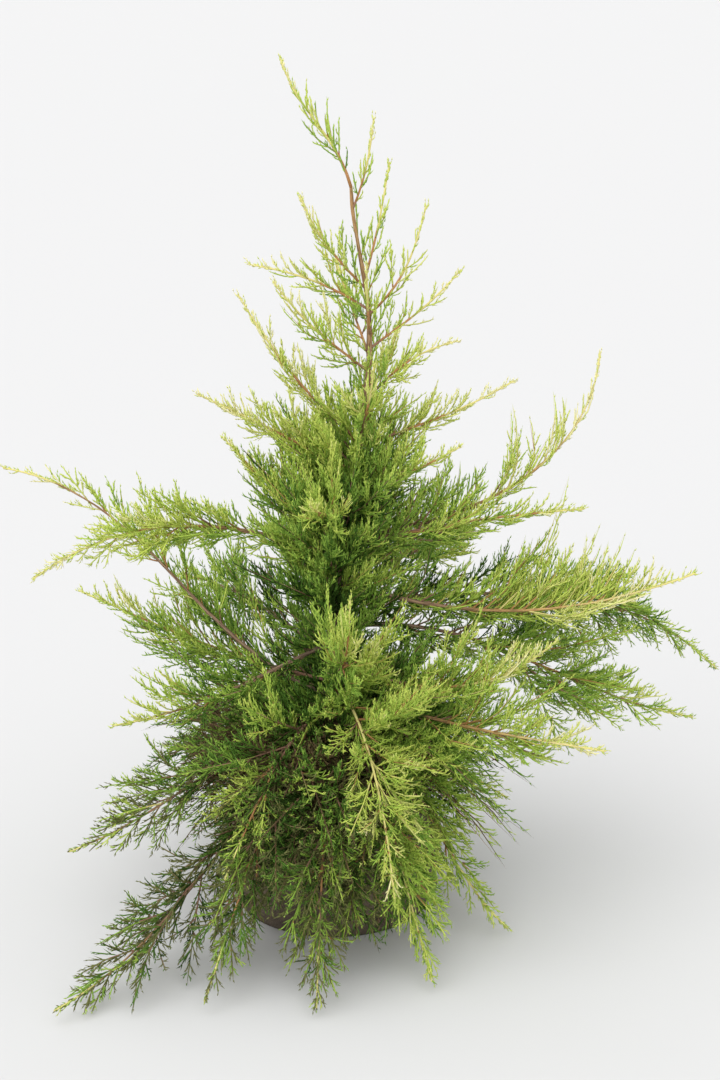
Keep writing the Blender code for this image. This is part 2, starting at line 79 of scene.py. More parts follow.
# %% Place the camera
CAMERA_PLACE = (0.035, -2.43, 1.20)
CAMERA_TILT_DOWN = math.radians(15.9)
LENS_MM = 64.1
LONG_SIDE_MM = 36.0

bpy.ops.object.camera_add(location=CAMERA_PLACE, rotation=(math.pi / 2 - CAMERA_TILT_DOWN, 0, 0))
camera = bpy.context.object
camera.name = "camera"
camera.data.lens = LENS_MM
camera.data.sensor_width = LONG_SIDE_MM
bpy.context.scene.camera = camera
print("the lens is", LENS_MM, "mm")

# %% Light the room
WORLD_COLOUR = (1.0, 1.0, 1.0)
WORLD_STRENGTH = 0.92
SUN_STRENGTH = 1.90
SUN_ANGLE = math.radians(80)
SUN_COMES_FROM = Vector((-0.35, -0.65, 1.0))

world = bpy.data.worlds.new("bright room")
world.use_nodes = True
room = world.node_tree.nodes["Background"]
room.inputs["Color"].default_value = (*WORLD_COLOUR, 1.0)
room.inputs["Strength"].default_value = WORLD_STRENGTH
bpy.context.scene.world = world

bpy.ops.object.light_add(type="SUN", rotation=SUN_COMES_FROM.to_track_quat("Z", "Y").to_euler())
sun = bpy.context.object
sun.name = "soft sun"
sun.data.energy = SUN_STRENGTH
sun.data.angle = SUN_ANGLE
bpy.context.scene.view_settings.view_transform = "Standard"
print("a soft sun of strength", SUN_STRENGTH, "in a room of", WORLD_STRENGTH)

# %% [markdown]
# ## Shader sums in plain Python
# A procedural finish is a small sum: a noise times a stripe, plus a stain. It can be wired by
# hand from Math nodes, but such a net is hard to read. So one small class wraps a socket and
# turns Python's own signs into Math nodes, and one method adds every other node.


# %% Wrap a socket so that Python's signs work on it
class Value:
    """A number that varies over a surface. Sums on it add the Math nodes that they need."""

    def __init__(self, finish, socket):
        self.finish = finish
        self.socket = socket

    def maths(self, operation, *others):
        node = self.finish.node("ShaderNodeMath", {"operation": operation}, self, *others)
        return Value(self.finish, node.outputs[0])

    def __add__(self, other):
        return self.maths("ADD", other)

    def __sub__(self, other):
        return self.maths("SUBTRACT", other)

    def __rsub__(self, other):
        return (self * -1.0) + other

    def __mul__(self, other):
        return self.maths("MULTIPLY", other)

    __radd__ = __add__
    __rmul__ = __mul__

    def clamped(self):
        return self.maths("MINIMUM", 1.0).maths("MAXIMUM", 0.0)


# %% Hold a material while its nodes are wired
class Finish:
    """A material in the making, with the one method that adds its nodes."""

    def __init__(self, name, colour, roughness):
        self.material = bpy.data.materials.new(name)
        self.material.use_nodes = True
        self.tree = self.material.node_tree
        self.shader = self.tree.nodes["Principled BSDF"]
        self.shader.inputs["Base Color"].default_value = (*colour, 1.0)
        self.shader.inputs["Roughness"].default_value = roughness

    def node(self, kind, settings, *inputs):
        """Adds a node: its settings first, then a value or a link for each socket in turn."""
        node = self.tree.nodes.new(kind)
        for key, setting in settings.items():
            setattr(node, key, setting)
        for place, given in enumerate(inputs):
            if given is None:
                continue
            socket = node.inputs[place]
            if isinstance(given, Value):
                self.tree.links.new(given.socket, socket)
            elif hasattr(given, "node"):
                self.tree.links.new(given, socket)
            else:
                socket.default_value = given
        return node

    def attribute(self, name, output="Vector"):
        return self.node("ShaderNodeAttribute", {"attribute_name": name}).outputs[output]

    def stretched(self, vector, scale):
        return self.node("ShaderNodeMapping", {}, vector, None, None, scale).outputs[0]

    def noise(self, vector, scale, detail=3.0, rough=0.55):
        node = self.node("ShaderNodeTexNoise", {}, vector, None, scale, detail, rough)
        return Value(self, node.outputs[0])

    def ramp(self, value, stops):
        node = self.node("ShaderNodeValToRGB", {}, value)
        elements = node.color_ramp.elements
        while len(elements) < len(stops):
            elements.new(0.5)
        for element, (place, colour) in zip(elements, stops):
            element.position = place
            element.color = (*colour, 1.0)
        return node.outputs[0]

    def wire(self, name, socket):
        self.tree.links.new(socket, self.shader.inputs[name])

    def bump(self, height, strength, distance):
        node = self.node("ShaderNodeBump", {}, strength, distance)
        self.tree.links.new(height.socket, node.inputs["Height"])
        self.wire("Normal", node.outputs[0])


# %% Lay the floor
FLOOR_SIZE = 1200.0
FLOOR_DROP = 0.0004
FLOOR_COLOUR, FLOOR_ROUGHNESS = (0.640, 0.640, 0.643), 0.9

bpy.ops.mesh.primitive_plane_add(size=FLOOR_SIZE, location=(0, 0, -FLOOR_DROP))
floor = bpy.context.object
floor.name = "floor"
floor.data.materials.append(Finish("pale floor", FLOOR_COLOUR, FLOOR_ROUGHNESS).material)
floor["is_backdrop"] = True
print("the floor is", FLOOR_SIZE, "m across")

# %% [markdown]
# ## The limbs' own plan
# Every limb of the plain model follows one rule, so the lesson can say the rule again instead
# of reading meshes. The trunk is a tapering line that sways to the right and comes back. Each
# shoot leaves it at a height and a compass heading (0 is +X, 90 the back, 270 the front) and
# runs to its tip on a cubic curve. Twelve are a bare woody bough over their first share.

# %% Say how the trunk stands
BALL_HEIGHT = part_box("root_ball")[1].z
BALL_RADIUS = 0.150
BALL_WIDEST_SHARE = 0.40
BALL_FOOT_ANGLE = -38
BALL_SQUARENESS = 0.55
BALL_NECK_RADIUS = 0.050
BALL_RING_ANGLES = (BALL_FOOT_ANGLE, -22, 0, 24, 46, 64, 76)
TRUNK_FOOT, TRUNK_TOP = (corner.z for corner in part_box("trunk"))
TRUNK_FOOT_RADIUS, TRUNK_TOP_RADIUS = 0.0130, 0.0022
TRUNK_TAPER_POWER = 1.6
ROOT_FLARE, ROOT_FLARE_HEIGHT = 0.010, 0.035
TRUNK_SWAY = 0.047
TRUNK_SWAY_FROM, TRUNK_SWAY_TO = 0.42, 0.76
TRUNK_RETURN, TRUNK_RETURN_FROM = 0.023, 0.79


def smoothstep(value, low, high):
    share = np.clip((value - low) / (high - low), 0.0, 1.0)
    return share * share * (3 - 2 * share)


def trunk_offset(height):
    """How far to the right the trunk's middle stands at a height."""
    sway = TRUNK_SWAY * smoothstep(height, TRUNK_SWAY_FROM, TRUNK_SWAY_TO)
    return sway - TRUNK_RETURN * smoothstep(height, TRUNK_RETURN_FROM, TRUNK_TOP)


def trunk_radius(height):
    left = np.clip(1 - (height - TRUNK_FOOT) / (TRUNK_TOP - TRUNK_FOOT), 0.0, 1.0)
    flare = np.clip(1 - (height - TRUNK_FOOT) / ROOT_FLARE_HEIGHT, 0.0, 1.0)
    thinning = (TRUNK_FOOT_RADIUS - TRUNK_TOP_RADIUS) * left**TRUNK_TAPER_POWER
    return TRUNK_TOP_RADIUS + thinning + ROOT_FLARE * flare * flare


def ball_profile():
    """Points (radius, height) of the ball's side, from its foot up to its neck."""
    widest_at = BALL_HEIGHT * BALL_WIDEST_SHARE
    points = []
    for angle in BALL_RING_ANGLES:
        radius = BALL_RADIUS * math.cos(math.radians(angle)) ** BALL_SQUARENESS
        up = math.sin(math.radians(angle))
        if angle < 0:
            height = widest_at * (1 - up / math.sin(math.radians(BALL_FOOT_ANGLE)))
        else:
            height = widest_at + (BALL_HEIGHT - widest_at) * up
        points.append((radius, height))
    points.append((BALL_NECK_RADIUS, BALL_HEIGHT))
    return points


BALL_RADII, BALL_HEIGHTS = (np.array(column) for column in zip(*ball_profile()))
print("the trunk goes from", round(TRUNK_FOOT, 3), "to", round(TRUNK_TOP, 3), "m")

# %% List the shoots
DEEP, GREEN, FRESH, GOLD = "deep", "green", "fresh", "golden"
Shoot = namedtuple("Shoot", "name height heading reach tip leaves ends spread tint bare", defaults=[0.0])
ROWS = (
    ("leader", TRUNK_TOP, 182, 0.086, 1.120, 75, 72, 0.40, GOLD),
    ("top_right", 0.938, 320, 0.034, 1.049, 62, 82, 0.42, FRESH),
    ("top_left", 0.838, 212, 0.096, 0.960, 44, 66, 0.48, FRESH),
    ("high_back", 0.850, 62, 0.068, 0.992, 56, 70, 0.38, GREEN),
    ("high_right", 0.806, 334, 0.078, 0.946, 40, 76, 0.38, FRESH),
    ("high_left", 0.812, 170, 0.156, 0.866, 32, 8, 0.42, FRESH),
    ("high_front", 0.780, 268, 0.120, 0.885, 36, 56, 0.48, FRESH),
    ("upper_right", 0.762, 14, 0.120, 0.858, 34, 48, 0.40, FRESH),
    ("upper_left", 0.732, 207, 0.132, 0.856, 38, 54, 0.48, FRESH),
    ("upper_back", 0.752, 108, 0.150, 0.866, 36, 44, 0.50, GREEN),
    ("middle_right", 0.693, 336, 0.126, 0.781, 50, 16, 0.50, FRESH),
    ("middle_back", 0.668, 74, 0.180, 0.765, 36, 30, 0.50, GREEN),
    ("upper_front", 0.655, 276, 0.150, 0.770, 34, 58, 0.50, FRESH),
    ("shoulder_right", 0.632, 2, 0.201, 0.719, 22, 32, 0.36, FRESH),
    ("left_spire", 0.640, 178, 0.154, 0.831, 42, 60, 0.36, FRESH),
    ("left_shoulder", 0.590, 194, 0.200, 0.713, 40, 28, 0.48, FRESH),
    ("right_upper", 0.575, 326, 0.168, 0.655, 18, 32, 0.50, GREEN),
    ("middle_front", 0.540, 258, 0.190, 0.605, 22, 30, 0.62, GREEN),
    ("left_tier", 0.520, 159, 0.168, 0.633, 24, 46, 0.54, GREEN),
    ("back_upper", 0.520, 98, 0.290, 0.600, 26, 24, 0.54, GREEN),
    ("right_middle", 0.500, 353, 0.318, 0.560, 14, 6, 0.40, GREEN),
    ("right_arching", 0.512, 4, 0.337, 0.753, 3, 88, 0.32, FRESH, 0.22),
    ("left_long", 0.484, 197, 0.398, 0.490, 26, -34, 0.35, FRESH, 0.16),
    ("right_back", 0.425, 19, 0.581, 0.261, -4, -46, 0.36, DEEP, 0.24),
    ("right_long", 0.452, 352, 0.470, 0.482, -16, 24, 0.42, FRESH, 0.20),
    ("back_right", 0.405, 58, 0.400, 0.420, 22, -6, 0.54, GREEN, 0.21),
    ("right_drooping", 0.385, 7, 0.499, 0.236, 8, -12, 0.50, GREEN, 0.24),
    ("left_front", 0.368, 211, 0.322, 0.312, -14, 2, 0.58, GREEN, 0.24),
    ("front_rising", 0.345, 324, 0.340, 0.436, -14, 46, 0.48, GOLD),
    ("front_tower", 0.335, 276, 0.221, 0.499, 12, 80, 0.52, GREEN),
    ("back_left", 0.335, 128, 0.380, 0.370, 18, -8, 0.54, DEEP, 0.21),
    ("front_right", 0.302, 321, 0.426, 0.319, -4, 6, 0.52, GOLD, 0.24),
    ("left_back", 0.310, 160, 0.380, 0.398, 6, 18, 0.50, GREEN),
    ("front_drop", 0.300, 284, 0.319, 0.138, 18, -70, 0.56, FRESH),
    ("left_rising", 0.288, 174, 0.440, 0.594, 18, 8, 0.38, GREEN, 0.26),
    ("back_low", 0.275, 92, 0.350, 0.190, 8, -26, 0.54, DEEP),
    ("front_left_drop", 0.278, 244, 0.300, 0.150, 8, -40, 0.62, GREEN),
    ("right_under", 0.272, 7, 0.240, 0.130, 6, -30, 0.54, GREEN),
    ("left_low", 0.262, 199, 0.366, 0.117, -6, -14, 0.52, GREEN, 0.21),
    ("front_right_foot", 0.246, 294, 0.306, 0.016, 4, -50, 0.62, FRESH),
    ("right_foot", 0.244, 329, 0.268, 0.016, 0, -32, 0.54, FRESH),
    ("front_left_foot", 0.258, 245, 0.366, 0.018, 4, -44, 0.58, DEEP),
    ("back_foot_right", 0.244, 48, 0.310, 0.060, 8, -46, 0.56, DEEP),
    ("back_foot_left", 0.240, 138, 0.330, 0.060, 8, -42, 0.56, DEEP),
    ("left_foot", 0.243, 227, 0.489, 0.020, -16, -4, 0.50, DEEP, 0.28),
    ("front_foot", 0.240, 267, 0.341, 0.014, 6, -54, 0.62, DEEP),
)
SHOOTS = [Shoot(*row) for row in ROWS]
print(len(SHOOTS), "shoots,", sum(shoot.bare > 0 for shoot in SHOOTS), "with a woody bough")

# %% Work out each shoot's curve
PATH_PULL = 0.38
UP = np.array((0.0, 0.0, 1.0))


def unit(vectors):
    return vectors / np.linalg.norm(vectors, axis=-1, keepdims=True)


def square_to(ways, near):
    """Unit vectors square to some directions, as near as may be to others."""
    return unit(near - ways * (ways * near).sum(axis=-1, keepdims=True))


def slope(heading, elevation):
    heading, elevation = math.radians(heading), math.radians(elevation)
    flat = math.cos(elevation)
    return np.array((flat * math.cos(heading), flat * math.sin(heading), math.sin(elevation)))


def path_of(shoot):
    """The four control points of the curve from the trunk's middle to the shoot's tip."""
    root = np.array((float(trunk_offset(shoot.height)), 0.0, shoot.height))
    tip = root + slope(shoot.heading, 0) * shoot.reach + UP * (shoot.tip - shoot.height)
    pull = np.linalg.norm(tip - root) * PATH_PULL
    first = root + slope(shoot.heading, shoot.leaves) * pull
    second = tip - slope(shoot.heading, shoot.ends) * pull
    return np.array((root, first, second, tip))


def on_path(path, t):
    a, b, c, d = path
    t = np.asarray(t, float)[..., None]
    s = 1 - t
    return a * s**3 + b * 3 * s * s * t + c * 3 * s * t * t + d * t**3


def path_way(path, t):
    a, b, c, d = path
    t = np.asarray(t, float)[..., None]
    s = 1 - t
    return unit((b - a) * s * s + (c - b) * 2 * s * t + (d - c) * t * t)


def line_length(points):
    return float(np.linalg.norm(np.diff(points, axis=0), axis=1).sum())


PATHS = [path_of(shoot) for shoot in SHOOTS]
LENGTHS = [float(np.linalg.norm(path[3] - path[0])) for path in PATHS]
print("the shoots are", round(sum(LENGTHS), 1), "m long together")

# %% [markdown]
# ## Bark
# A young juniper's bark is thin and reddish brown, and it splits lengthwise into narrow strips
# that lift at their edges. The strips could be painted on with a bump, but their edges show
# against the sky, so they are real relief. It is easiest on a straight limb: one profile is
# turned on a Screw modifier, a texture that is stretched along the limb displaces it, and a
# Curve modifier then lays the finished limb along its own path.

# %% Make the bark's finish
BARK_AGES = (
    (0.00, (0.285, 0.190, 0.130)),
    (0.30, (0.330, 0.195, 0.110)),
    (0.46, (0.460, 0.260, 0.100)),
    (0.62, (0.620, 0.400, 0.150)),
    (0.80, (0.780, 0.660, 0.290)),
)
GREY_BARK = (0.430, 0.350, 0.270)
STRIP_STRETCH, BLOTCH_STRETCH = (60.0, 700.0, 700.0), (30.0, 90.0, 90.0)
CRACKS_AT, CRACK_EDGE, CRACK_SHADE, CRACK_LIGHT = 0.40, 5.0, 0.45, 0.65
LIFTED_AT, LIFTED_EDGE, LIFTED_GREY = 0.56, 6.0, 0.45
BARK_ROUGHNESS, SMOOTHEST_BARK, BLOTCH_ROUGHNESS = 0.82, 0.66, 0.25
BLOTCH_HEIGHT, BARK_BUMP, BARK_BUMP_DEPTH = 0.4, 0.6, 0.0012


def bark_finish():
    """Reddish strips over darker cracks, greyer where the strips lift, yellower to the tip."""
    finish = Finish("juniper bark", BARK_AGES[0][1], BARK_ROUGHNESS)
    log = finish.attribute("log")
    age = Value(finish, finish.attribute("age", "Fac"))
    strips = finish.noise(finish.stretched(log, STRIP_STRETCH), 1.0)
    blotches = finish.noise(finish.stretched(log, BLOTCH_STRETCH), 1.0)
    shade = finish.ramp(age, BARK_AGES)
    cracks = ((strips - CRACKS_AT) * CRACK_EDGE).clamped()
    dark = finish.node("ShaderNodeVectorMath", {"operation": "SCALE"}, shade)
    finish.tree.links.new((cracks * CRACK_LIGHT + CRACK_SHADE).socket, dark.inputs["Scale"])
    lifted = ((strips - LIFTED_AT) * LIFTED_EDGE).clamped()
    lifted = (lifted * (1.0 - age) * LIFTED_GREY).clamped()
    pale = finish.node(
        "ShaderNodeMix", {"data_type": "RGBA"}, lifted, None, None, None, None, None,
        dark.outputs[0], (*GREY_BARK, 1.0),
    )
    finish.wire("Base Color", pale.outputs[2])
    finish.wire("Roughness", (blotches * BLOTCH_ROUGHNESS + SMOOTHEST_BARK).clamped().socket)
    finish.bump(strips + blotches * BLOTCH_HEIGHT, BARK_BUMP, BARK_BUMP_DEPTH)
    return finish.material


BARK = bark_finish()
print("bark with", len(BARK.node_tree.nodes), "nodes")

# %% Turn, displace and lay one limb
RELIEF_STRETCH, RELIEF_ROUND = 0.045, 0.0055
LIMB_RING_STEP = 0.004
MERGE_WITHIN = 0.00002
GUIDE_STEPS = 24
OLD_WOOD_STRETCH = 2.2

strip_texture = bpy.data.textures.new("strips", "CLOUDS")
strip_texture.noise_scale = 1.0
strip_texture.noise_depth = 2
strip_texture.noise_basis = "ORIGINAL_PERLIN"


def apply(piece, modifier):
    bpy.context.view_layer.objects.active = piece
    bpy.ops.object.modifier_apply(modifier=modifier.name)


def turned_skin(name, reaches, radii, sides):
    """Turns a line of points, how far along and how far out, into a closed skin facing out."""
    points = [(reaches[0], 0.0, 0.0)]
    points += [(reach, 0.0, radius) for reach, radius in zip(reaches, radii)]
    points.append((reaches[-1], 0.0, 0.0))
    mesh = bpy.data.meshes.new(name)
    mesh.from_pydata(points, [(k, k + 1) for k in range(len(points) - 1)], [])
    piece = bpy.data.objects.new(name, mesh)
    bpy.context.scene.collection.objects.link(piece)
    bpy.ops.object.select_all(action="DESELECT")
    piece.select_set(True)
    bpy.context.view_layer.objects.active = piece
    screw = piece.modifiers.new("turned", "SCREW")
    screw.axis = "X"
    screw.steps = screw.render_steps = sides
    screw.use_merge_vertices = True
    screw.merge_threshold = MERGE_WITHIN
    apply(piece, screw)
    bpy.ops.object.mode_set(mode="EDIT")
    bpy.ops.mesh.select_all(action="SELECT")
    bpy.ops.mesh.remove_doubles(threshold=MERGE_WITHIN)
    bpy.ops.mesh.normals_make_consistent(inside=False)
    bpy.ops.object.mode_set(mode="OBJECT")
    return piece


def displace(piece, along, around, strength):
    """Pushes the skin out and in by the strips, which are stretched along the limb."""
    bpy.ops.object.empty_add(location=(0, 0, 0))
    stretch = bpy.context.object
    stretch.scale = (along, around, around)
    bpy.context.view_layer.update()
    relief = piece.modifiers.new("relief", "DISPLACE")
    relief.texture = strip_texture
    relief.texture_coords = "OBJECT"
    relief.texture_coords_object = stretch
    relief.strength = strength
    relief.mid_level = 0.5
    apply(piece, relief)
    bpy.data.objects.remove(stretch)


def points_of(piece):
    points = np.empty(len(piece.data.vertices) * 3, np.float32)
    piece.data.vertices.foreach_get("co", points)
    return points.reshape(-1, 3)


def remember_log(piece, old_at):
    """Keeps each point's place on the straight limb, and its age, which is 1 where it is new."""
    places = points_of(piece)
    log = piece.data.attributes.new("log", "FLOAT_VECTOR", "POINT")
    log.data.foreach_set("vector", places.ravel())
    age = piece.data.attributes.new("age", "FLOAT", "POINT")
    age.data.foreach_set("value", np.clip(places[:, 0] / old_at, 0.0, 1.0).astype(np.float32))


def lay_along(piece, points, handles=None):
    """Bends the straight limb onto a curve through the points, or along one cubic curve."""
    bpy.ops.curve.primitive_bezier_curve_add()
    guide = bpy.context.object
    spline = guide.data.splines[0]
    points = [Vector(point) for point in points]
    guide.data.resolution_u = GUIDE_STEPS
    guide.data.use_radius = False
    guide.data.use_stretch = False
    if handles is None:
        spline.bezier_points.add(len(points) - 2)
    for place, knot in zip(points, spline.bezier_points):
        knot.co = place
        knot.handle_left_type = knot.handle_right_type = "AUTO" if handles is None else "FREE"
    if handles is not None:
        first, last = spline.bezier_points
        out, back = [Vector(handle) for handle in handles]
        first.handle_right, first.handle_left = out, points[0] * 2 - out
        last.handle_left, last.handle_right = back, points[1] * 2 - back
    bend = piece.modifiers.new("laid", "CURVE")
    bend.object = guide
    bend.deform_axis = "POS_X"
    bpy.context.view_layer.update()
    apply(piece, bend)
    bpy.data.objects.remove(guide)


def set_finish(piece, material, slot):
    piece.data.materials.clear()
    piece.data.materials.append(material)
    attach(piece, "root")


def bark_limb(name, node, reaches, radii, sides, scale, relief, old_at, points, handles=None):
    """A limb with real strips of bark, laid on its path in the place of its node."""
    limb = turned_skin(f"bark_{name}", reaches, radii, sides)
    displace(limb, RELIEF_STRETCH * scale, RELIEF_ROUND * scale, relief)
    remember_log(limb, old_at)
    lay_along(limb, points, handles)
    limb.data.shade_smooth()
    set_finish(limb, BARK, "bark")
    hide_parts(node)
    return limb


# %% Bark the trunk
TRUNK_SKIN_SIDES, TRUNK_RELIEF, TRUNK_KNOTS = 40, 0.0030, 24

heights = np.linspace(TRUNK_FOOT, TRUNK_TOP, TRUNK_KNOTS)
trunk_line = np.column_stack([trunk_offset(heights), heights * 0.0, heights])
trunk_length = line_length(trunk_line)
reaches = np.linspace(0.0, trunk_length, int(trunk_length / LIMB_RING_STEP))
reached = TRUNK_FOOT + reaches * (TRUNK_TOP - TRUNK_FOOT) / trunk_length
bark_trunk = bark_limb(
    "trunk", "trunk", reaches, trunk_radius(reached), TRUNK_SKIN_SIDES, 1.0, TRUNK_RELIEF,
    trunk_length * OLD_WOOD_STRETCH, trunk_line,
)
print("bark_trunk has", len(bark_trunk.data.vertices), "points")

# %% Bark the twelve boughs
BOUGH_RADIUS, BOUGH_TIP_RADIUS, BOUGH_TAPER_POWER = 0.0037, 0.0009, 0.65
BOUGH_COLLAR, BOUGH_COLLAR_LENGTH = 0.0028, 0.028
BOUGH_SKIN_SIDES, BOUGH_RELIEF, BOUGH_RELIEF_SCALE = 16, 0.0016, 0.7
BOUGH_ENDS_AT, LENGTH_STEPS = 0.93, 60


def bark_bough(shoot, path):
    """One bough from inside the trunk's skin until it is as thin as a twig."""
    curve_length = line_length(on_path(path, np.linspace(0, 1, LENGTH_STEPS)))
    reach = np.arange(0.0, curve_length * BOUGH_ENDS_AT, LIMB_RING_STEP)
    share = reach / reach[-1]
    collar = BOUGH_COLLAR * np.clip(1 - reach / BOUGH_COLLAR_LENGTH, 0, 1) ** 2
    radii = BOUGH_RADIUS + (BOUGH_TIP_RADIUS - BOUGH_RADIUS) * share**BOUGH_TAPER_POWER + collar
    old_at = curve_length * (1.0 if shoot.tint in (FRESH, GOLD) else OLD_WOOD_STRETCH)
    return bark_limb(
        shoot.name, f"bough_{shoot.name}", reach, radii, BOUGH_SKIN_SIDES, BOUGH_RELIEF_SCALE,
        BOUGH_RELIEF, old_at, path[[0, 3]], path[[1, 2]],
    )


boughs = [bark_bough(shoot, path) for shoot, path in zip(SHOOTS, PATHS) if shoot.bare]
print(len(boughs), "boughs have", sum(len(limb.data.vertices) for limb in boughs), "points")

# %% [markdown]
# ## The wrapped root ball
# A juniper grown in a field is sold with its roots in a ball of earth, wrapped in coarse
# sacking that is gathered at the neck, tied with twine and laced. A plain sphere would show
# its smoothness even from the little that peeps out. So one profile is turned into a closed
# skin with its collar, and its points are then moved: pleats that deepen to the neck, lumps of
# earth, and a dent under each lace. The weave is a bump that follows the cloth by a UV map.

# %% Weave and stain the sacking
THREAD_PITCH = 0.0023
BALL_ROUND = 2 * math.pi * BALL_RADIUS
THREADS_ROUND = round(BALL_ROUND / THREAD_PITCH)
SLUB_STRETCH = (260.0, 30.0, 1.0)
STAIN_SCALE, STAIN_DETAIL, STAIN_ROUGHNESS = 14.0, 5.0, 0.6
DAMP_CLIMB, DAMP_STAINS, DAMP_TO = 2.6, 1.3, 0.55
DAMP_TONE, THREAD_TONE, SLUB_TONE, DARKER = 0.62, 0.22, 0.22, 0.06
SACKING_ROUGHNESS, SMOOTHEST_SACKING, STAINED_ROUGHER = 0.95, 0.80, 0.2
SLUB_HEIGHT, WEAVE_BUMP, WEAVE_DEPTH = 0.6, 0.8, 0.0009
SACKING = (
    (0.00, (0.060, 0.045, 0.032)),
    (0.35, (0.150, 0.113, 0.078)),
    (0.65, (0.300, 0.232, 0.158)),
    (1.00, (0.470, 0.382, 0.268)),
)


def hessian_finish():
    """Coarse threads over and under, stained by damp earth from the foot upwards."""
    finish = Finish("hessian", SACKING[2][1], SACKING_ROUGHNESS)
    cloth = finish.node("ShaderNodeUVMap", {"uv_map": "cloth"}).outputs[0]
    parts = finish.node("ShaderNodeSeparateXYZ", {}, cloth)
    across, up = [Value(finish, parts.outputs[axis]) for axis in (0, 1)]
    warp, weft = [
        (way * (math.pi * THREADS_ROUND)).maths("SINE").maths("ABSOLUTE") for way in (across, up)
    ]
    column, row = [(way * THREADS_ROUND).maths("FLOOR") for way in (across, up)]
    over = (column + row).maths("MODULO", 2.0).maths("ABSOLUTE")
    threads = warp * over + weft * (1.0 - over)
    place = finish.node("ShaderNodeTexCoord", {}).outputs["Object"]
    slubs = finish.noise(finish.stretched(cloth, SLUB_STRETCH), 1.0)
    stains = finish.noise(place, STAIN_SCALE, STAIN_DETAIL, STAIN_ROUGHNESS)
    height = Value(finish, finish.node("ShaderNodeSeparateXYZ", {}, place).outputs[2])
    damp = (height * DAMP_CLIMB + stains * DAMP_STAINS - DAMP_TO).clamped()
    tone = damp * DAMP_TONE + threads * THREAD_TONE + slubs * SLUB_TONE - DARKER
    finish.wire("Base Color", finish.ramp(tone.clamped(), SACKING))
    finish.wire("Roughness", (stains * STAINED_ROUGHER + SMOOTHEST_SACKING).clamped().socket)
    finish.bump(threads + slubs * SLUB_HEIGHT, WEAVE_BUMP, WEAVE_DEPTH)
    return finish.material


HESSIAN = hessian_finish()
print(THREADS_ROUND, "threads round the ball")

# %% Turn the wrapped ball with its collar
BALL_SIDES = 176
PROFILE_STEP = 0.0032
TIE_RADIUS, TIE_HEIGHT = 0.029, BALL_HEIGHT + 0.0075
COLLAR_RADIUS, COLLAR_HEIGHT = 0.043, BALL_HEIGHT + 0.026
COLLAR_BELLY, COLLAR_BELLY_DROP = 0.86, 0.008
CLOTH_THICKNESS = 0.0016
LINING_RADIUS, LINING_RISE, LINING_DROP = 0.012, 0.001, 0.002


def resampled(points, step):
    """Points at an even step along a line of points."""
    points = np.array(points, float)
    reach = np.concatenate([[0.0], np.cumsum(np.linalg.norm(np.diff(points, axis=0), axis=1))])
    wanted = np.linspace(0.0, reach[-1], round(reach[-1] / step) + 1)
    return np.column_stack([np.interp(wanted, reach, column) for column in points.T])


collar_line = [
    (TIE_RADIUS, TIE_HEIGHT),
    (COLLAR_RADIUS * COLLAR_BELLY, COLLAR_HEIGHT - COLLAR_BELLY_DROP),
    (COLLAR_RADIUS, COLLAR_HEIGHT),
    (COLLAR_RADIUS - CLOTH_THICKNESS, COLLAR_HEIGHT),
    (TIE_RADIUS - CLOTH_THICKNESS, TIE_HEIGHT + LINING_RISE),
    (LINING_RADIUS, TIE_HEIGHT - LINING_DROP),
]
outline = resampled(ball_profile() + collar_line, PROFILE_STEP)
wrapped_ball = turned_skin("wrapped_ball", outline[:, 1], outline[:, 0], BALL_SIDES)
wrapped_ball.rotation_euler = (0, -math.pi / 2, 0)
bpy.ops.object.transform_apply(location=False, rotation=True, scale=False)
print("wrapped_ball has", len(wrapped_ball.data.vertices), "points")

# %% Pleat, dent and stuff it
LACES = 9
LACE_TWIST = math.radians(24)
LACE_DENT, LACE_DENT_WIDTH = 0.0065, 0.013
PLEATS, PLEAT_DEPTH, PLEATS_FROM, PLEAT_POWER = 23, 0.0065, 0.03, 1.6
PLEATS_WANDER, WANDERS, PLEATS_LEAN = 1.3, 3, 6.0
LUMP_DEPTH, SMALL_LUMP_SHARE, LUMP_LOSS_AT_NECK = 0.0080, 0.3, 0.6
BULGES, DIPS, DIPS_FROM, SMALL_LUMPS, SMALL_DIPS = (5, 31), (2, 44), 1.0, (11, 70), 90
FOOT_SMOOTH = 0.02
RUFFLE, RUFFLE_CENTRE, RUFFLE_RISE = 0.0065, 0.03, 0.6
RUFFLES, RUFFLES_FROM, SMALL_RUFFLES, RISES, RISES_FROM = 7, 0.6, 16, 5, 2.0
ON_AXIS, NEAR_AXIS, UNDERSIDE = 1e-6, 1e-5, 0.001


def half_turn(angle):
    """The same angle between minus and plus half a turn."""
    return (angle + math.pi) % (2 * math.pi) - math.pi


def lace_turns(height):
    """The compass places of the laces at a height: they lean as they go down."""
    down = 1 - np.clip(height / BALL_HEIGHT, 0.0, 1.0)
    lean = LACE_TWIST * down * np.where(np.arange(LACES) % 2, 1.0, -1.0)[:, None]
    return 2 * math.pi * np.arange(LACES)[:, None] / LACES + lean


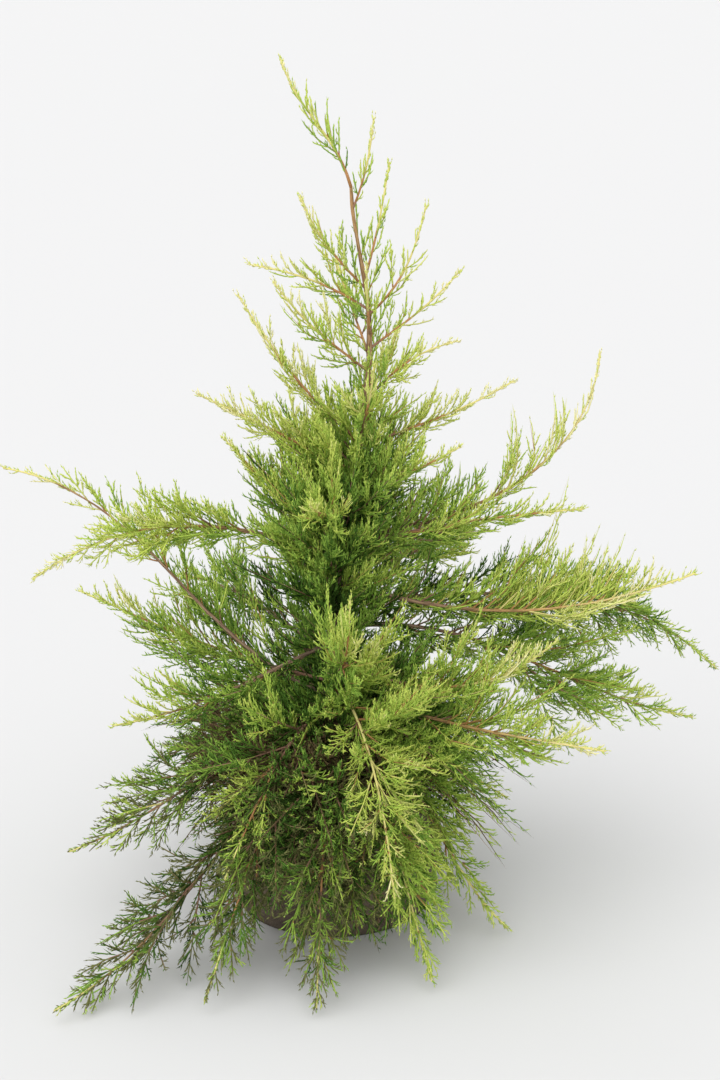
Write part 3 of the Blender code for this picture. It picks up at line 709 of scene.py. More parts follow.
def ball_push(angle, height):
    """How far out the cloth stands from the turned shape at an angle and a height."""
    risen = smoothstep(height, 0.0, FOOT_SMOOTH)
    to_neck = np.clip((height - PLEATS_FROM) / (BALL_HEIGHT - PLEATS_FROM), 0.0, 1.0)
    to_neck = to_neck**PLEAT_POWER
    fold = angle * PLEATS / 2 + PLEATS_WANDER * np.sin(angle * WANDERS) + PLEATS_LEAN * height
    pleat = (0.5 - np.abs(np.sin(fold))) * PLEAT_DEPTH * to_neck
    lump = np.sin(angle * BULGES[0] + height * BULGES[1]) * np.sin(
        angle * DIPS[0] - height * DIPS[1] + DIPS_FROM) * LUMP_DEPTH
    small = np.sin(angle * SMALL_LUMPS[0] + height * SMALL_LUMPS[1]) * np.cos(height * SMALL_DIPS)
    lump = lump + small * LUMP_DEPTH * SMALL_LUMP_SHARE
    apart = np.abs(half_turn(angle - lace_turns(height))).min(axis=0)
    dent = -LACE_DENT * np.exp(-((apart * BALL_RADIUS / LACE_DENT_WIDTH) ** 2))
    return (pleat + (lump + dent) * (1 - to_neck * LUMP_LOSS_AT_NECK)) * risen


def ball_surface(angle, height):
    """The radius of the finished cloth at an angle and a height below the neck."""
    return np.interp(height, BALL_HEIGHTS, BALL_RADII) + ball_push(angle, height)


places = points_of(wrapped_ball).astype(float)
angle = np.arctan2(places[:, 1], places[:, 0])
radius = np.hypot(places[:, 0], places[:, 1])
collar = smoothstep(places[:, 2], TIE_HEIGHT, COLLAR_HEIGHT)
push = ball_push(angle, np.minimum(places[:, 2], BALL_HEIGHT))
push *= np.clip(radius / RUFFLE_CENTRE, 0.0, 1.0)
ruffles = np.sin(angle * RUFFLES + RUFFLES_FROM) + 0.5 * np.sin(angle * SMALL_RUFFLES)
push += collar * RUFFLE * ruffles
pushed = np.where(radius > ON_AXIS, (radius + push) / np.maximum(radius, ON_AXIS), 1.0)
places[:, :2] *= pushed[:, None]
places[:, 2] += collar * RUFFLE * RUFFLE_RISE * np.sin(angle * RISES + RISES_FROM)
wrapped_ball.data.vertices.foreach_set("co", places.ravel().astype(np.float32))
wrapped_ball.data.update()
print("the cloth stands out", round(float(push.max()) * 1000, 1), "mm at most")

# %% Lay the UV map on the cloth
corners = np.empty(len(wrapped_ball.data.loops), np.int32)
wrapped_ball.data.loops.foreach_get("vertex_index", corners)
sizes_of = np.array([face.loop_total for face in wrapped_ball.data.polygons])
owner = np.repeat(np.arange(len(sizes_of)), sizes_of)
middle = np.array([tuple(face.center) for face in wrapped_ball.data.polygons])
middle_angle = np.arctan2(middle[:, 1], middle[:, 0])[owner]
at_axis = np.hypot(places[corners, 0], places[corners, 1]) < NEAR_AXIS
turned_by = np.where(at_axis, 0.0, half_turn(angle[corners] - middle_angle))
rise = np.where(places[:, 2] < UNDERSIDE, radius - BALL_RADIUS, places[:, 2]) / BALL_ROUND
cloth_map = wrapped_ball.data.uv_layers.new(name="cloth")
flat_map = np.column_stack([(middle_angle + turned_by) / (2 * math.pi), rise[corners]])
cloth_map.data.foreach_set("uv", flat_map.ravel().astype(np.float32))
wrapped_ball.data.shade_smooth()
set_finish(wrapped_ball, HESSIAN, "hessian")
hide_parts("root_ball")
print("the map has", len(corners), "corners")

# %% [markdown]
# ## How the juniper branches
# A juniper has no flat leaves. Its green is fine cord, a millimetre or two thick, sheathed in
# scales, and each cord carries shorter ones on both sides. Such a crown could be drawn with
# pictures of sprays on cards, but cards look flat from the side. Here four orders of twig grow
# on one rule: offshoots leave at a fork angle, get shorter towards the tip, and turn up to the
# light. Arrays hold a whole order at once, because a loop over every twiglet would be slow.

# %% Describe an order of twigs
SPIRAL = math.radians(137.5)
SIDE_RADIUS, SIDE_THICKENING = 0.0007, 0.005
Twigs = namedtuple("Twigs", "root way flat bend length thick outer tone shoot kind")


def pick(twigs, chosen):
    return Twigs(*[field[chosen] for field in twigs])


def together(*orders):
    return Twigs(*[np.concatenate(fields) for fields in zip(*orders)])


def along(twigs, share):
    """The point at a share of each twig, which bends more the further it goes."""
    reach = (twigs.length * share)[:, None]
    return twigs.root + twigs.way * reach + twigs.bend * reach * share[:, None]


def way_at(twigs, share):
    return unit(twigs.way + twigs.bend * 2 * share[:, None])


def lifted(way, lift):
    """How twigs bend: up to the light, by their own amount, square to where they point."""
    return (UP - way * way[:, 2:]) * lift[:, None]


def round_stem(onward, flat, spin):
    """Directions square to some stems, spun about them from their flat side."""
    return flat * np.cos(spin)[:, None] + np.cross(onward, flat) * np.sin(spin)[:, None]


def forked(onward, outward, fork):
    return unit(onward * np.cos(fork)[:, None] + outward * np.sin(fork)[:, None])


def side_twigs(root, way, near, lift, length, outer, tone, shoot):
    """Twigs of the first order, whose sprays lie as near as may be to one direction."""
    flat, bend, kind = square_to(way, near), lifted(way, lift), np.zeros(len(length), int)
    thick = SIDE_RADIUS + SIDE_THICKENING * length
    return Twigs(root, way, flat, bend, length, thick, outer, tone, shoot, kind)


# %% Keep twigs off the ball, the trunk and the floor, and within reach
FLOOR_CLEAR, ROOT_CLEAR_SHARE = 0.006, 0.6
BALL_CLEAR, TRUNK_CLEAR = 0.003, 0.0015
REACH_BEYOND, ABOVE_FLOOR = 0.013, 0.0012
CHECKED_AT = (0.4, 1.0)
LOW_REACH = np.array(CAD_LOW) - (REACH_BEYOND, REACH_BEYOND, -ABOVE_FLOOR)
HIGH_REACH = np.array(CAD_HIGH) + REACH_BEYOND


def is_clear(points):
    """Tells which points are outside the wrapped ball and the trunk, and inside the reach."""
    x, y, z = points.T
    ball = np.interp(z, BALL_HEIGHTS, BALL_RADII) + BALL_CLEAR
    off_ball = (np.hypot(x, y) > ball) | (z > BALL_HEIGHT + BALL_CLEAR)
    reach = np.hypot(x - trunk_offset(z), y)
    off_trunk = (reach > trunk_radius(z) + TRUNK_CLEAR) | (z > TRUNK_TOP)
    within = ((points > LOW_REACH) & (points < HIGH_REACH)).all(axis=1)
    return off_ball & off_trunk & within


def lay_on_floor(twigs):
    """Raises each twig that would end below the floor until it lies on it."""
    end = twigs.root[:, 2] + (twigs.way[:, 2] + twigs.bend[:, 2]) * twigs.length
    lack = np.maximum(FLOOR_CLEAR - end, 0.0) / twigs.length
    way = twigs.way.copy()
    way[:, 2] += lack
    root = twigs.root.copy()
    root[:, 2] = np.maximum(root[:, 2], FLOOR_CLEAR * ROOT_CLEAR_SHARE)
    return twigs._replace(root=root, way=unit(way))


def keep_clear(twigs):
    twigs = lay_on_floor(twigs)
    count = len(twigs.length)
    inner, tip = [is_clear(along(twigs, np.full(count, share))) for share in CHECKED_AT]
    return pick(twigs, inner & tip)


# %% Grow the side twigs of every shoot
STEP_LUCK = (0.1, 0.9)
SIDES_START, SIDES_END, SIDE_SPACING = 0.07, 0.992, 0.0111
CROWDING_AT = (0.25, 0.36, 0.48, 0.70, 0.85)
CROWDING = (0.88, 0.88, 0.70, 0.72, 0.90)
LOOSELY_SET = dict(
    right_arching=1.30, left_rising=1.40, leader=0.56, left_long=0.58, high_front=2.8,
    upper_front=1.7, right_back=0.85, right_drooping=0.85, right_long=0.80, back_right=0.85,
    front_tower=0.9, front_rising=0.9, front_foot=0.75, front_right_foot=0.75, left_tier=0.75,
    left_shoulder=0.80, right_upper=0.80, right_under=1.30, left_front=0.85, top_left=0.62,
    high_left=0.72, upper_left=0.78, upper_right=0.85, top_right=0.80,
)
LIGHTLY_LEAVED = dict(right_arching=0.60, left_rising=0.75, leader=0.75)
TURNED_BACK = ("right_long", "front_right", "left_rising")
TURNED_FROM = -0.50
SIDE_AT_ROOT, WIDEST_AT = 0.55, 0.30
SIDE_LOSS_AT_TIP, SIDE_LOSS_POWER = 0.96, 0.86
LONGEST_SIDE, SHORTEST_SIDE = 0.205, 0.012
LENGTH_LUCK, LIFT_LUCK, SPIN_SCATTER = (0.45, 1.08), (0.3, 1.5), 0.25
FORK_ANGLE, FORK_SPREAD = math.radians(36), math.radians(9)
FORK_CLOSES_BY = 0.35
LIFT_AT_ENDS, LIFTS = (-50, -20, 10, 60), (0.03, 0.14, 0.46, 0.50)
OWN_LIFT = dict(
    front_drop=0.45, right_foot=-0.25, front_right_foot=-0.18, left_foot=-0.30, left_low=-0.06,
    right_arching=0.90, right_long=0.75, left_rising=0.05, right_back=-0.30, front_foot=-0.25,
    front_left_foot=-0.22, back_foot_left=-0.15, back_foot_right=-0.15,
)
SPRAY_SCATTER, MOST_TONE_BUT_WHIPS = 0.085, 0.9
WHIP_SHARE, WHIPS_FROM, WHIP_STRETCH, WHIP_TONE = 0.030, 0.30, 1.15, 0.19
SPRIGS_FROM, SPRIGS_END, SPRIG_SPACING, SPRIG_LENGTHS = 0.80, 0.995, 0.0036, (0.005, 0.011)
SPRIG_OUTER, SPRIG_FORK = 0.78, math.radians(17)


def side_length(shoot, length, s):
    """The source's rule: longest low down on the mass, short at its tip."""
    rise = SIDE_AT_ROOT + (1 - SIDE_AT_ROOT) * np.minimum(s / WIDEST_AT, 1.0)
    beyond = np.maximum(0.0, (s - WIDEST_AT) / (1 - WIDEST_AT))
    fall = 1 - SIDE_LOSS_AT_TIP * beyond**SIDE_LOSS_POWER
    return shoot.spread * length * rise * fall


def lift_of(shoot):
    """Rising shoots carry rising twigs, hanging ones hardly lift theirs, and the lowest hang."""
    return OWN_LIFT.get(shoot.name, float(np.interp(shoot.ends, LIFT_AT_ENDS, LIFTS)))


def leave_shoot(number, t, s, fork, length, lift, tone):
    """Twigs that leave a shoot's own curve, each a golden turn on from the last."""
    path, count = PATHS[number], len(t)
    onward = path_way(path, t)
    spin = chance.uniform(0, 2 * math.pi) + SPIRAL * np.arange(count)
    spin = spin + chance.normal(0, SPIN_SCATTER, count)
    outward = round_stem(onward, square_to(onward, UP), spin)
    if SHOOTS[number].name in TURNED_BACK:
        outward[:, 1] *= np.where(outward[:, 1] < TURNED_FROM, -1.0, 1.0)
    way, shoot = forked(onward, outward, fork), np.full(count, number)
    return side_twigs(on_path(path, t), way, outward, lift, length, s, tone, shoot)


def spread_out(first, last, count):
    """Places between a first and a last one, evenly spread but each a little off."""
    return first + (last - first) * (np.arange(count) + chance.uniform(*STEP_LUCK, count)) / count


def grow_sides(number):
    shoot, chord = SHOOTS[number], LENGTHS[number]
    spacing = SIDE_SPACING * np.interp(shoot.height, CROWDING_AT, CROWDING)
    spacing *= LOOSELY_SET.get(shoot.name, 1.0)
    count = round(chord * (1 - SIDES_START) / spacing)
    t = spread_out(SIDES_START, SIDES_END, count)
    s = np.clip((t - shoot.bare) / (1 - shoot.bare), 0.0, 1.0)
    fork = FORK_ANGLE * (1 - FORK_CLOSES_BY * s)
    fork = fork + chance.uniform(-FORK_SPREAD, FORK_SPREAD, count)
    length = side_length(shoot, chord * (1 - shoot.bare), s) * chance.uniform(*LENGTH_LUCK, count)
    lift = lift_of(shoot) * chance.uniform(*LIFT_LUCK, count)
    tone = chance.normal(0, SPRAY_SCATTER, count)
    whips = (chance.uniform(0, 1, count) < WHIP_SHARE) & (s > WHIPS_FROM)
    whips &= shoot.tint in (FRESH, GOLD)
    tone = np.where(whips, WHIP_TONE, np.minimum(tone, WHIP_TONE * MOST_TONE_BUT_WHIPS))
    length = np.clip(length * np.where(whips, WHIP_STRETCH, 1.0), SHORTEST_SIDE, LONGEST_SIDE)
    return leave_shoot(number, t, s, fork, length, lift, tone)


def grow_sprigs(number):
    """Tiny sprigs pressed to the last part of a shoot, so that its tip isn't bare."""
    count = round(LENGTHS[number] * (1 - SPRIGS_FROM) / SPRIG_SPACING)
    t = spread_out(SPRIGS_FROM, SPRIGS_END, count)
    length = chance.uniform(*SPRIG_LENGTHS, count)
    tone = chance.normal(0, SPRAY_SCATTER * 0.5, count)
    outer, fork = np.full(count, SPRIG_OUTER), np.full(count, SPRIG_FORK)
    return leave_shoot(number, t, outer, fork, length, np.zeros(count), tone)


sides, sprigs = [
    together(*[grow(number) for number in range(len(SHOOTS))]) for grow in (grow_sides, grow_sprigs)
]
print(len(sides.length), "side twigs,", round(sides.length.sum(), 1), "m long together")

# %% Fill the heart of the crown from the trunk
HEART_COUNT = 232
HEART_AT = (0.27, 0.40, 0.48, 0.58, 0.68, 0.90)
HEART_SHARES = (0.0, 0.24, 0.52, 0.83, 0.95, 1.0)
HEART_LENGTHS = (0.080, 0.130, 0.165, 0.145, 0.080, 0.070)
HEART_CLIMBS, HEART_CLIMB_SCATTER = (30, 34, 34, 38, 46, 62), 18
HEART_LUCK, HEART_LIFT = (0.6, 1.15), 0.15
# Heart sprays get a low outer value up to halfway up the crown, so their tone is darker: painted shade
# inside the crown.
HEART_PAINTED_SHADE_AT, HEART_OUTER = (0.50, 0.80), (-0.12, 0.25)
HEADING_SCATTER, HEADING_WEIGHT = 14, 0.08
SKIRT_COUNT, SKIRT_LOW, SKIRT_HIGH = 104, 0.222, 0.300
SKIRT_LENGTHS, SKIRT_CLIMBS, SKIRT_DROOP = (0.15, 0.26), (-6, 20), (0.45, 0.82)
SKIRT_OUTER = 0.10
SHOOT_HEIGHTS = np.array([shoot.height for shoot in SHOOTS])
SHOOT_HEADINGS = np.array([shoot.heading for shoot in SHOOTS], float)


def leave_trunk(height, climb, length, lift, outer):
    """Sprays that leave the trunk itself, each a golden turn on from the last."""
    count = len(height)
    heading = np.degrees(SPIRAL) * np.arange(count) + chance.normal(0, HEADING_SCATTER, count)
    way = np.array([slope(*pair) for pair in zip(heading, climb)])
    turned = half_turn(np.radians(heading[:, None] - SHOOT_HEADINGS))
    apart = np.hypot(SHOOT_HEIGHTS - height[:, None], turned * HEADING_WEIGHT)
    root = np.column_stack([trunk_offset(height), height * 0.0, height])
    outer, tone = np.broadcast_to(outer, count), chance.normal(0, SPRAY_SCATTER, count)
    return side_twigs(root, way, UP, lift, length, outer, tone, apart.argmin(axis=1))


height = np.interp(spread_out(0.0, 1.0, HEART_COUNT), HEART_SHARES, HEART_AT)
scatter = chance.uniform(-HEART_CLIMB_SCATTER, HEART_CLIMB_SCATTER, HEART_COUNT)
climb = np.interp(height, HEART_AT, HEART_CLIMBS) + scatter
length = np.interp(height, HEART_AT, HEART_LENGTHS) * chance.uniform(*HEART_LUCK, HEART_COUNT)
# painted shade: heart sprays darker low in the crown
outer = np.interp(height, HEART_PAINTED_SHADE_AT, HEART_OUTER)
heart = leave_trunk(height, climb, length, np.full(HEART_COUNT, HEART_LIFT), outer)

height = spread_out(SKIRT_LOW, SKIRT_HIGH, SKIRT_COUNT)
climb, length, droop = [
    chance.uniform(*limits, SKIRT_COUNT) for limits in (SKIRT_CLIMBS, SKIRT_LENGTHS, SKIRT_DROOP)
]
skirt = leave_trunk(height, climb, length, -droop, SKIRT_OUTER)
sides = keep_clear(together(sides, sprigs, heart, skirt))
hanging = int((sides.outer == SKIRT_OUTER).sum())
print(len(heart.length), "sprays on the trunk itself,", hanging, "hanging over the ball")


# %% State the rule of offshoots
OFFSHOOT_FORK_LUCK, OFFSHOOT_LIFT_LUCK = (0.75, 1.2), (0.2, 1.6)
OUTER_OF_STEM, OUTER_OF_PLACE = 0.7, 0.3
SPRAY_LIFT_AT, SPRAY_LIFTS = (0.07, 0.27), (0.12, 0.42)
# A rule tells how far apart offshoots stand, how few a stem may have, and on what span of it.
# Then it tells their length by luck, their thickness, how they fork from the stem and tilt out
# of its plane, and how much they lift, by themselves and with their spray.
Rule = namedtuple(
    "Rule", "spacing fewest span share extra luck limits radius thicker fork tilt lift spray"
)
FORKS = Rule(
    spacing=0.019, fewest=2, span=(0.15, 0.72), share=1.0, extra=0.0, luck=(0.40, 0.75),
    limits=(0.018, 0.10), radius=SIDE_RADIUS, thicker=SIDE_THICKENING * 0.6,
    fork=FORK_ANGLE * 0.9, tilt=0.7, lift=0.26, spray=0.0,
)
BRANCHLETS = Rule(
    spacing=0.0066, fewest=2, span=(0.05, 0.97), share=0.46, extra=0.0045, luck=(0.65, 1.15),
    limits=(0.005, 0.036), radius=0.00095, thicker=0.0, fork=math.radians(25), tilt=0.7,
    lift=0.0, spray=1.0,
)
TWIGLETS = BRANCHLETS._replace(
    spacing=0.0047, fewest=1, span=(0.12, 0.92), share=0.50, extra=0.0040, luck=(0.7, 1.2),
    limits=(0.0050, 0.0160), radius=0.00086, fork=math.radians(23), tilt=0.8, spray=0.8,
)


def offshoots(twigs, rule, *scales):
    """Offshoots that leave to one side and the other in turn, more or less in one plane. Each
    is a share of its stem's rest and a little extra, and the fine ones turn up with the spray."""
    first, last = rule.span
    count = np.round(twigs.length * (last - first) / rule.spacing)
    count = np.maximum(count, rule.fewest).astype(int)
    index = np.repeat(np.arange(len(count)), count)
    order = np.arange(len(index)) - np.repeat(np.cumsum(count) - count, count)
    step = order + chance.uniform(*STEP_LUCK, len(index))
    share = first + (last - first) * step / count[index]
    stem, count = pick(twigs, index), len(index)
    length = stem.length * (1 - share) * rule.share + rule.extra
    length *= chance.uniform(*rule.luck, count)
    for scale in scales:
        length *= scale[index]
    length = np.clip(length, *rule.limits)
    onward = way_at(stem, share)
    spin = math.pi * (order % 2) + chance.normal(0, rule.tilt, count)
    outward = round_stem(onward, square_to(onward, stem.flat), spin)
    way = forked(onward, outward, rule.fork * chance.uniform(*OFFSHOOT_FORK_LUCK, count))
    lift = rule.lift + rule.spray * np.interp(stem.root[:, 2], SPRAY_LIFT_AT, SPRAY_LIFTS)
    return keep_clear(stem._replace(
        root=along(stem, share), way=way, flat=square_to(way, outward),
        bend=lifted(way, lift * chance.uniform(*OFFSHOOT_LIFT_LUCK, count)), length=length,
        thick=rule.radius + rule.thicker * length,
        outer=stem.outer * OUTER_OF_STEM + share * OUTER_OF_PLACE,
    ))


# %% Grow the forks and the branchlets
FORK_FROM_LENGTH = 0.055
WHIP_LEAFINESS = 0.70
SHOOT_LEAFINESS = np.array([LIGHTLY_LEAVED.get(shoot.name, 1.0) for shoot in SHOOTS])
SLIMMER_AT, SLIMMER = (0.60, 0.88), (1.0, 0.72)


def is_whip(twigs):
    """Tells which twigs are this year's long yellow shoots, nearly bare of side growth."""
    return twigs.tone >= WHIP_TONE


forks = offshoots(pick(sides, (sides.length > FORK_FROM_LENGTH) & ~is_whip(sides)), FORKS)
twigs = together(sides, forks)
leafiness = np.where(is_whip(twigs), WHIP_LEAFINESS, SHOOT_LEAFINESS[twigs.shoot])
slimmer = np.interp(twigs.root[:, 2], SLIMMER_AT, SLIMMER)
branchlets = offshoots(twigs, BRANCHLETS, leafiness, slimmer)
for order, name in ((forks, "forks"), (branchlets, "branchlets")):
    print(len(order.length), f"{name},", round(order.length.sum(), 1), "m long together")

# %% [markdown]
# ## Colours by spray
# The outer shoots are new and yellow-green, the heart of the crown is old and darker, and low in
# the middle, where no light comes, some sprays have died back to brown. The tone also carries
# painted light and shade: painted shade darkens the heart and the low sprays, and painted light
# brightens the high sprays and the front right. A pattern could paint that over the crown, but
# every spray of a real juniper has one colour of its own. So each branchlet gets a tone from its
# place, and the tone picks one of nine plain materials.

# %% Name the colours
LEAF_KINDS = (
    ("withered", (0.152, 0.108, 0.052), "foliage_deep"),
    ("olive", (0.180, 0.192, 0.066), "foliage_deep"),
    ("shade", (0.040, 0.084, 0.014), "foliage_deep"),
    ("deep", (0.106, 0.216, 0.034), "foliage_deep"),
    ("leaf", (0.268, 0.434, 0.068), "foliage_green"),
    ("bright", (0.445, 0.602, 0.104), "foliage_green"),
    ("fresh", (0.578, 0.678, 0.138), "foliage_fresh"),
    ("lime", (0.700, 0.735, 0.235), "foliage_fresh"),
    ("straw", (0.850, 0.815, 0.425), "foliage_golden"),
)
WOOD_KINDS = (
    ("brown", (0.310, 0.175, 0.120)),
    ("russet", (0.470, 0.245, 0.105)),
    ("straw", (0.730, 0.650, 0.250)),
)
DULL_KINDS = 2
TONE_OF_TINT = {DEEP: 0.28, GREEN: 0.41, FRESH: 0.505, GOLD: 0.47}
OUTER_BRIGHTENS, HALFWAY_OUT = 0.52, 0.45
# Painted light and shade by height: low sprays get a darker tone, high ones a lighter one.
LIGHT_AT = (0.05, 0.20, 0.34, 0.55, 0.68, 0.95)
LIGHT_ADDS = (-0.05, -0.03, 0.08, 0.13, 0.22, 0.13)
TONE_SCATTER, WOOD_TONE_SCATTER = 0.060, 0.08
HIGHEST_TONE = 0.999
WOOD_CHANGES = (0.44, 0.66)
WITHERED_WITHIN, WITHERED_BELOW, WITHERED_SHARE = 0.18, 0.27, 0.50
OLIVE_AT, OLIVE_SHARES = (0.16, 0.28), (0.50, 0.0)
# Olive and withered sprays stand only left of this, on the shaded side: the withered ones are dead, the
# olive ones are partly painted shade.
DULL_AND_SHADED_LEFT_OF = 0.06
OWN_TONE = dict(
    front_drop=0.41, front_right_foot=0.36, right_foot=0.46, right_under=0.44, front_rising=0.37,
    front_right=0.41, front_tower=0.33, upper_front=0.43, high_front=0.45,
)
# Painted light from the front: sprays on the front right, from near the foot to the middle of the crown,
# get a lighter tone.
FRONT_PAINTED_LIGHT, FACING_BELOW, FACING_FADE = 0.15, 0.47, 0.08
FACING_RIGHT, FACING_FRONT, FACING_UP = (-0.06, 0.04), (0.02, 0.16), (0.08, 0.20)
SHOOT_TONES = np.array([OWN_TONE.get(shoot.name, TONE_OF_TINT[shoot.tint]) for shoot in SHOOTS])


def tones(twigs, scatter):
    """A tone from 0, the dark heart, to 1, the yellow tips, with painted light and shade added."""
    tone = SHOOT_TONES[twigs.shoot] + twigs.tone + OUTER_BRIGHTENS * (twigs.outer - HALFWAY_OUT)
    x, y, z = twigs.root.T
    # painted light on the front right
    painted_light = smoothstep(x, *FACING_RIGHT) * smoothstep(-y, *FACING_FRONT) * smoothstep(z, *FACING_UP)
    painted_light = painted_light * smoothstep(FACING_BELOW - z, 0.0, FACING_FADE)
    tone = tone + np.interp(z, LIGHT_AT, LIGHT_ADDS) + FRONT_PAINTED_LIGHT * painted_light
    return np.clip(tone + scatter, 0.0, HIGHEST_TONE)


def leaf_kinds(twigs):
    """The colour of each spray: its tone, or olive and withered where it is low on the shaded left, the
    olive partly painted shade.
    """
    count = len(twigs.length)
    tone = tones(twigs, chance.normal(0, TONE_SCATTER, count))
    luck = chance.uniform(0, 1, count)
    kinds = DULL_KINDS + (tone * (len(LEAF_KINDS) - DULL_KINDS)).astype(int)
    olive = luck > 1 - np.interp(twigs.root[:, 2], OLIVE_AT, OLIVE_SHARES)
    near = np.hypot(twigs.root[:, 0], twigs.root[:, 1]) < WITHERED_WITHIN
    withered = near & (twigs.root[:, 2] < WITHERED_BELOW) & (luck < WITHERED_SHARE)
    dull = np.where(withered, 0, np.where(olive, 1, kinds))
    return np.where(twigs.root[:, 0] < DULL_AND_SHADED_LEFT_OF, dull, kinds)


# The woody twigs take their colour from the same tone, with its painted light and shade.
def wood_kinds(twigs):
    tone = tones(twigs, chance.normal(0, WOOD_TONE_SCATTER, len(twigs.length)))
    return np.digitize(tone, WOOD_CHANGES)


# %% Make the twigs' meshes from arrays
def skin(rings, sides, pointed):
    """The triangles of a closed cord: its rings in turn, then its tip, and its base if pointed."""
    tip = rings * sides
    faces = []
    for k in range(sides):
        after = (k + 1) % sides
        for level in range(rings - 1):
            low, high = level * sides, (level + 1) * sides
            faces.append((low + k, low + after, high + after))
            faces.append((low + k, high + after, high + k))
        faces.append((tip - sides + k, tip - sides + after, tip))
        if pointed:
            faces.append((after, k, tip + 1))
    for k in range(2, sides if not pointed else 0):
        faces.append((0, k, k - 1))
    return np.array(faces)


def ring(centres, ways, near, radii, sides):
    """The corners of a ring round each centre, as one array of points to a corner."""
    across = square_to(ways, near)
    for k in range(sides):
        out = round_stem(ways, across, np.full(len(ways), 2 * math.pi * k / sides))
        yield centres + out * radii[:, None]


def cords(twigs, profile, sides, pointed=True):
    """One closed tapering cord to a twig."""
    count = len(twigs.length)
    columns = []
    for share, width in profile:
        places = np.full(count, share)
        way, radii = way_at(twigs, places), twigs.thick * width
        columns += ring(along(twigs, places), way, twigs.flat, radii, sides)
    columns.append(along(twigs, np.ones(count)))
    if pointed:
        columns.append(along(twigs, np.zeros(count)))
    points = np.stack(columns, axis=1)
    starts = np.arange(count)[:, None, None] * len(columns)
    faces = skin(len(profile), sides, pointed)[None] + starts
    return points.reshape(-1, 3), faces.reshape(-1, 3)


def joined_mesh(name, chunks):
    """One object from several (points, triangles) pairs."""
    starts = np.cumsum([0] + [len(points) for points, _ in chunks])
    points = np.concatenate([points for points, _ in chunks]).astype(np.float32)
    faces = [faces + start for (_, faces), start in zip(chunks, starts)]
    faces = np.concatenate(faces).astype(np.int32)
    mesh = bpy.data.meshes.new(name)
    mesh.vertices.add(len(points))
    mesh.vertices.foreach_set("co", points.ravel())
    mesh.loops.add(faces.size)
    mesh.loops.foreach_set("vertex_index", faces.ravel())
    mesh.polygons.add(len(faces))
    mesh.polygons.foreach_set("loop_start", np.arange(0, faces.size, 3, dtype=np.int32))
    mesh.update(calc_edges=True)
    mesh.shade_smooth()
    piece = bpy.data.objects.new(name, mesh)
    bpy.context.scene.collection.objects.link(piece)
    print(name, "has", len(faces), "triangles")
    return piece


DULL_GLOSS = 0.08


def plain(name, colour, roughness):
    finish = Finish(name, colour, roughness)
    finish.shader.inputs["Specular IOR Level"].default_value = DULL_GLOSS
    return finish.material


# %% Deal out the tones and grow the twiglets
TWIGLETS_FROM_LENGTH = 0.009

twigs = twigs._replace(kind=leaf_kinds(twigs))
branchlets = branchlets._replace(kind=leaf_kinds(branchlets))
twiglets = offshoots(pick(branchlets, branchlets.length > TWIGLETS_FROM_LENGTH), TWIGLETS)
print(len(twiglets.length), "twiglets")

# %% Make the leafy cords, one piece to a colour
TWIGLET_PROFILE = ((0.12, 1.15),)
SHORT_PROFILE = ((0.38, 1.0),)
BRANCHLET_PROFILE = ((0.15, 1.0), (0.75, 0.85))
LEAFY_PROFILE = ((0.10, 1.0), (0.50, 1.0), (0.85, 0.9))
LEAF_ROUGHNESS, LEAF_SIDES = 0.65, 3
TWO_RINGS_FROM_LENGTH, WOOD_FROM_LENGTH = 0.019, 0.016
LEAFY_SIDE_SCALE = 1.1
MOST_IN_A_PIECE = 180000

long_branchlets = pick(branchlets, branchlets.length > TWO_RINGS_FROM_LENGTH)
short_branchlets = pick(branchlets, branchlets.length <= TWO_RINGS_FROM_LENGTH)
leafy = twigs._replace(thick=np.full(len(twigs.length), BRANCHLETS.radius * LEAFY_SIDE_SCALE))
woody = twigs.length > WOOD_FROM_LENGTH
LEAF_ORDERS = (
    (pick(leafy, woody), LEAFY_PROFILE, True), (long_branchlets, BRANCHLET_PROFILE, True),
    (pick(leafy, ~woody), SHORT_PROFILE, True), (short_branchlets, SHORT_PROFILE, True),
    (twiglets, TWIGLET_PROFILE, False),
)


def leaf_chunks(kind, part, parts):
    """The leafy cords of one colour, on every so-manieth shoot."""
    for order, profile, pointed in LEAF_ORDERS:
        chosen = pick(order, (order.kind == kind) & (order.shoot % parts == part))
        yield cords(chosen, profile, LEAF_SIDES, pointed)


for kind, (word, colour, slot) in enumerate(LEAF_KINDS):
    finish = plain(f"leaves {word}", colour, LEAF_ROUGHNESS)
    parts = math.ceil(sum(len(faces) for _, faces in leaf_chunks(kind, 0, 1)) / MOST_IN_A_PIECE)
    for part in range(parts):
        name = f"leaves_{word}_{part}" if parts > 1 else f"leaves_{word}"
        piece = joined_mesh(name, list(leaf_chunks(kind, part, parts)))
        set_finish(piece, finish, slot)
        ours = (branchlets.kind == kind) & (branchlets.shoot % parts == part)
        stood_for = np.unique(branchlets.shoot[ours])
        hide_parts(*[f"foliage_{SHOOTS[number].name}" for number in stood_for])

# %% [markdown]
# ## Wood of the thin limbs
# The thin shoots have no bark to speak of: their skin is brown by the trunk, russet further
# out, and straw yellow where it grew this year. Each is a plain tapering tube, cut where its
# colour changes, and the side twigs are woody over their inner half.

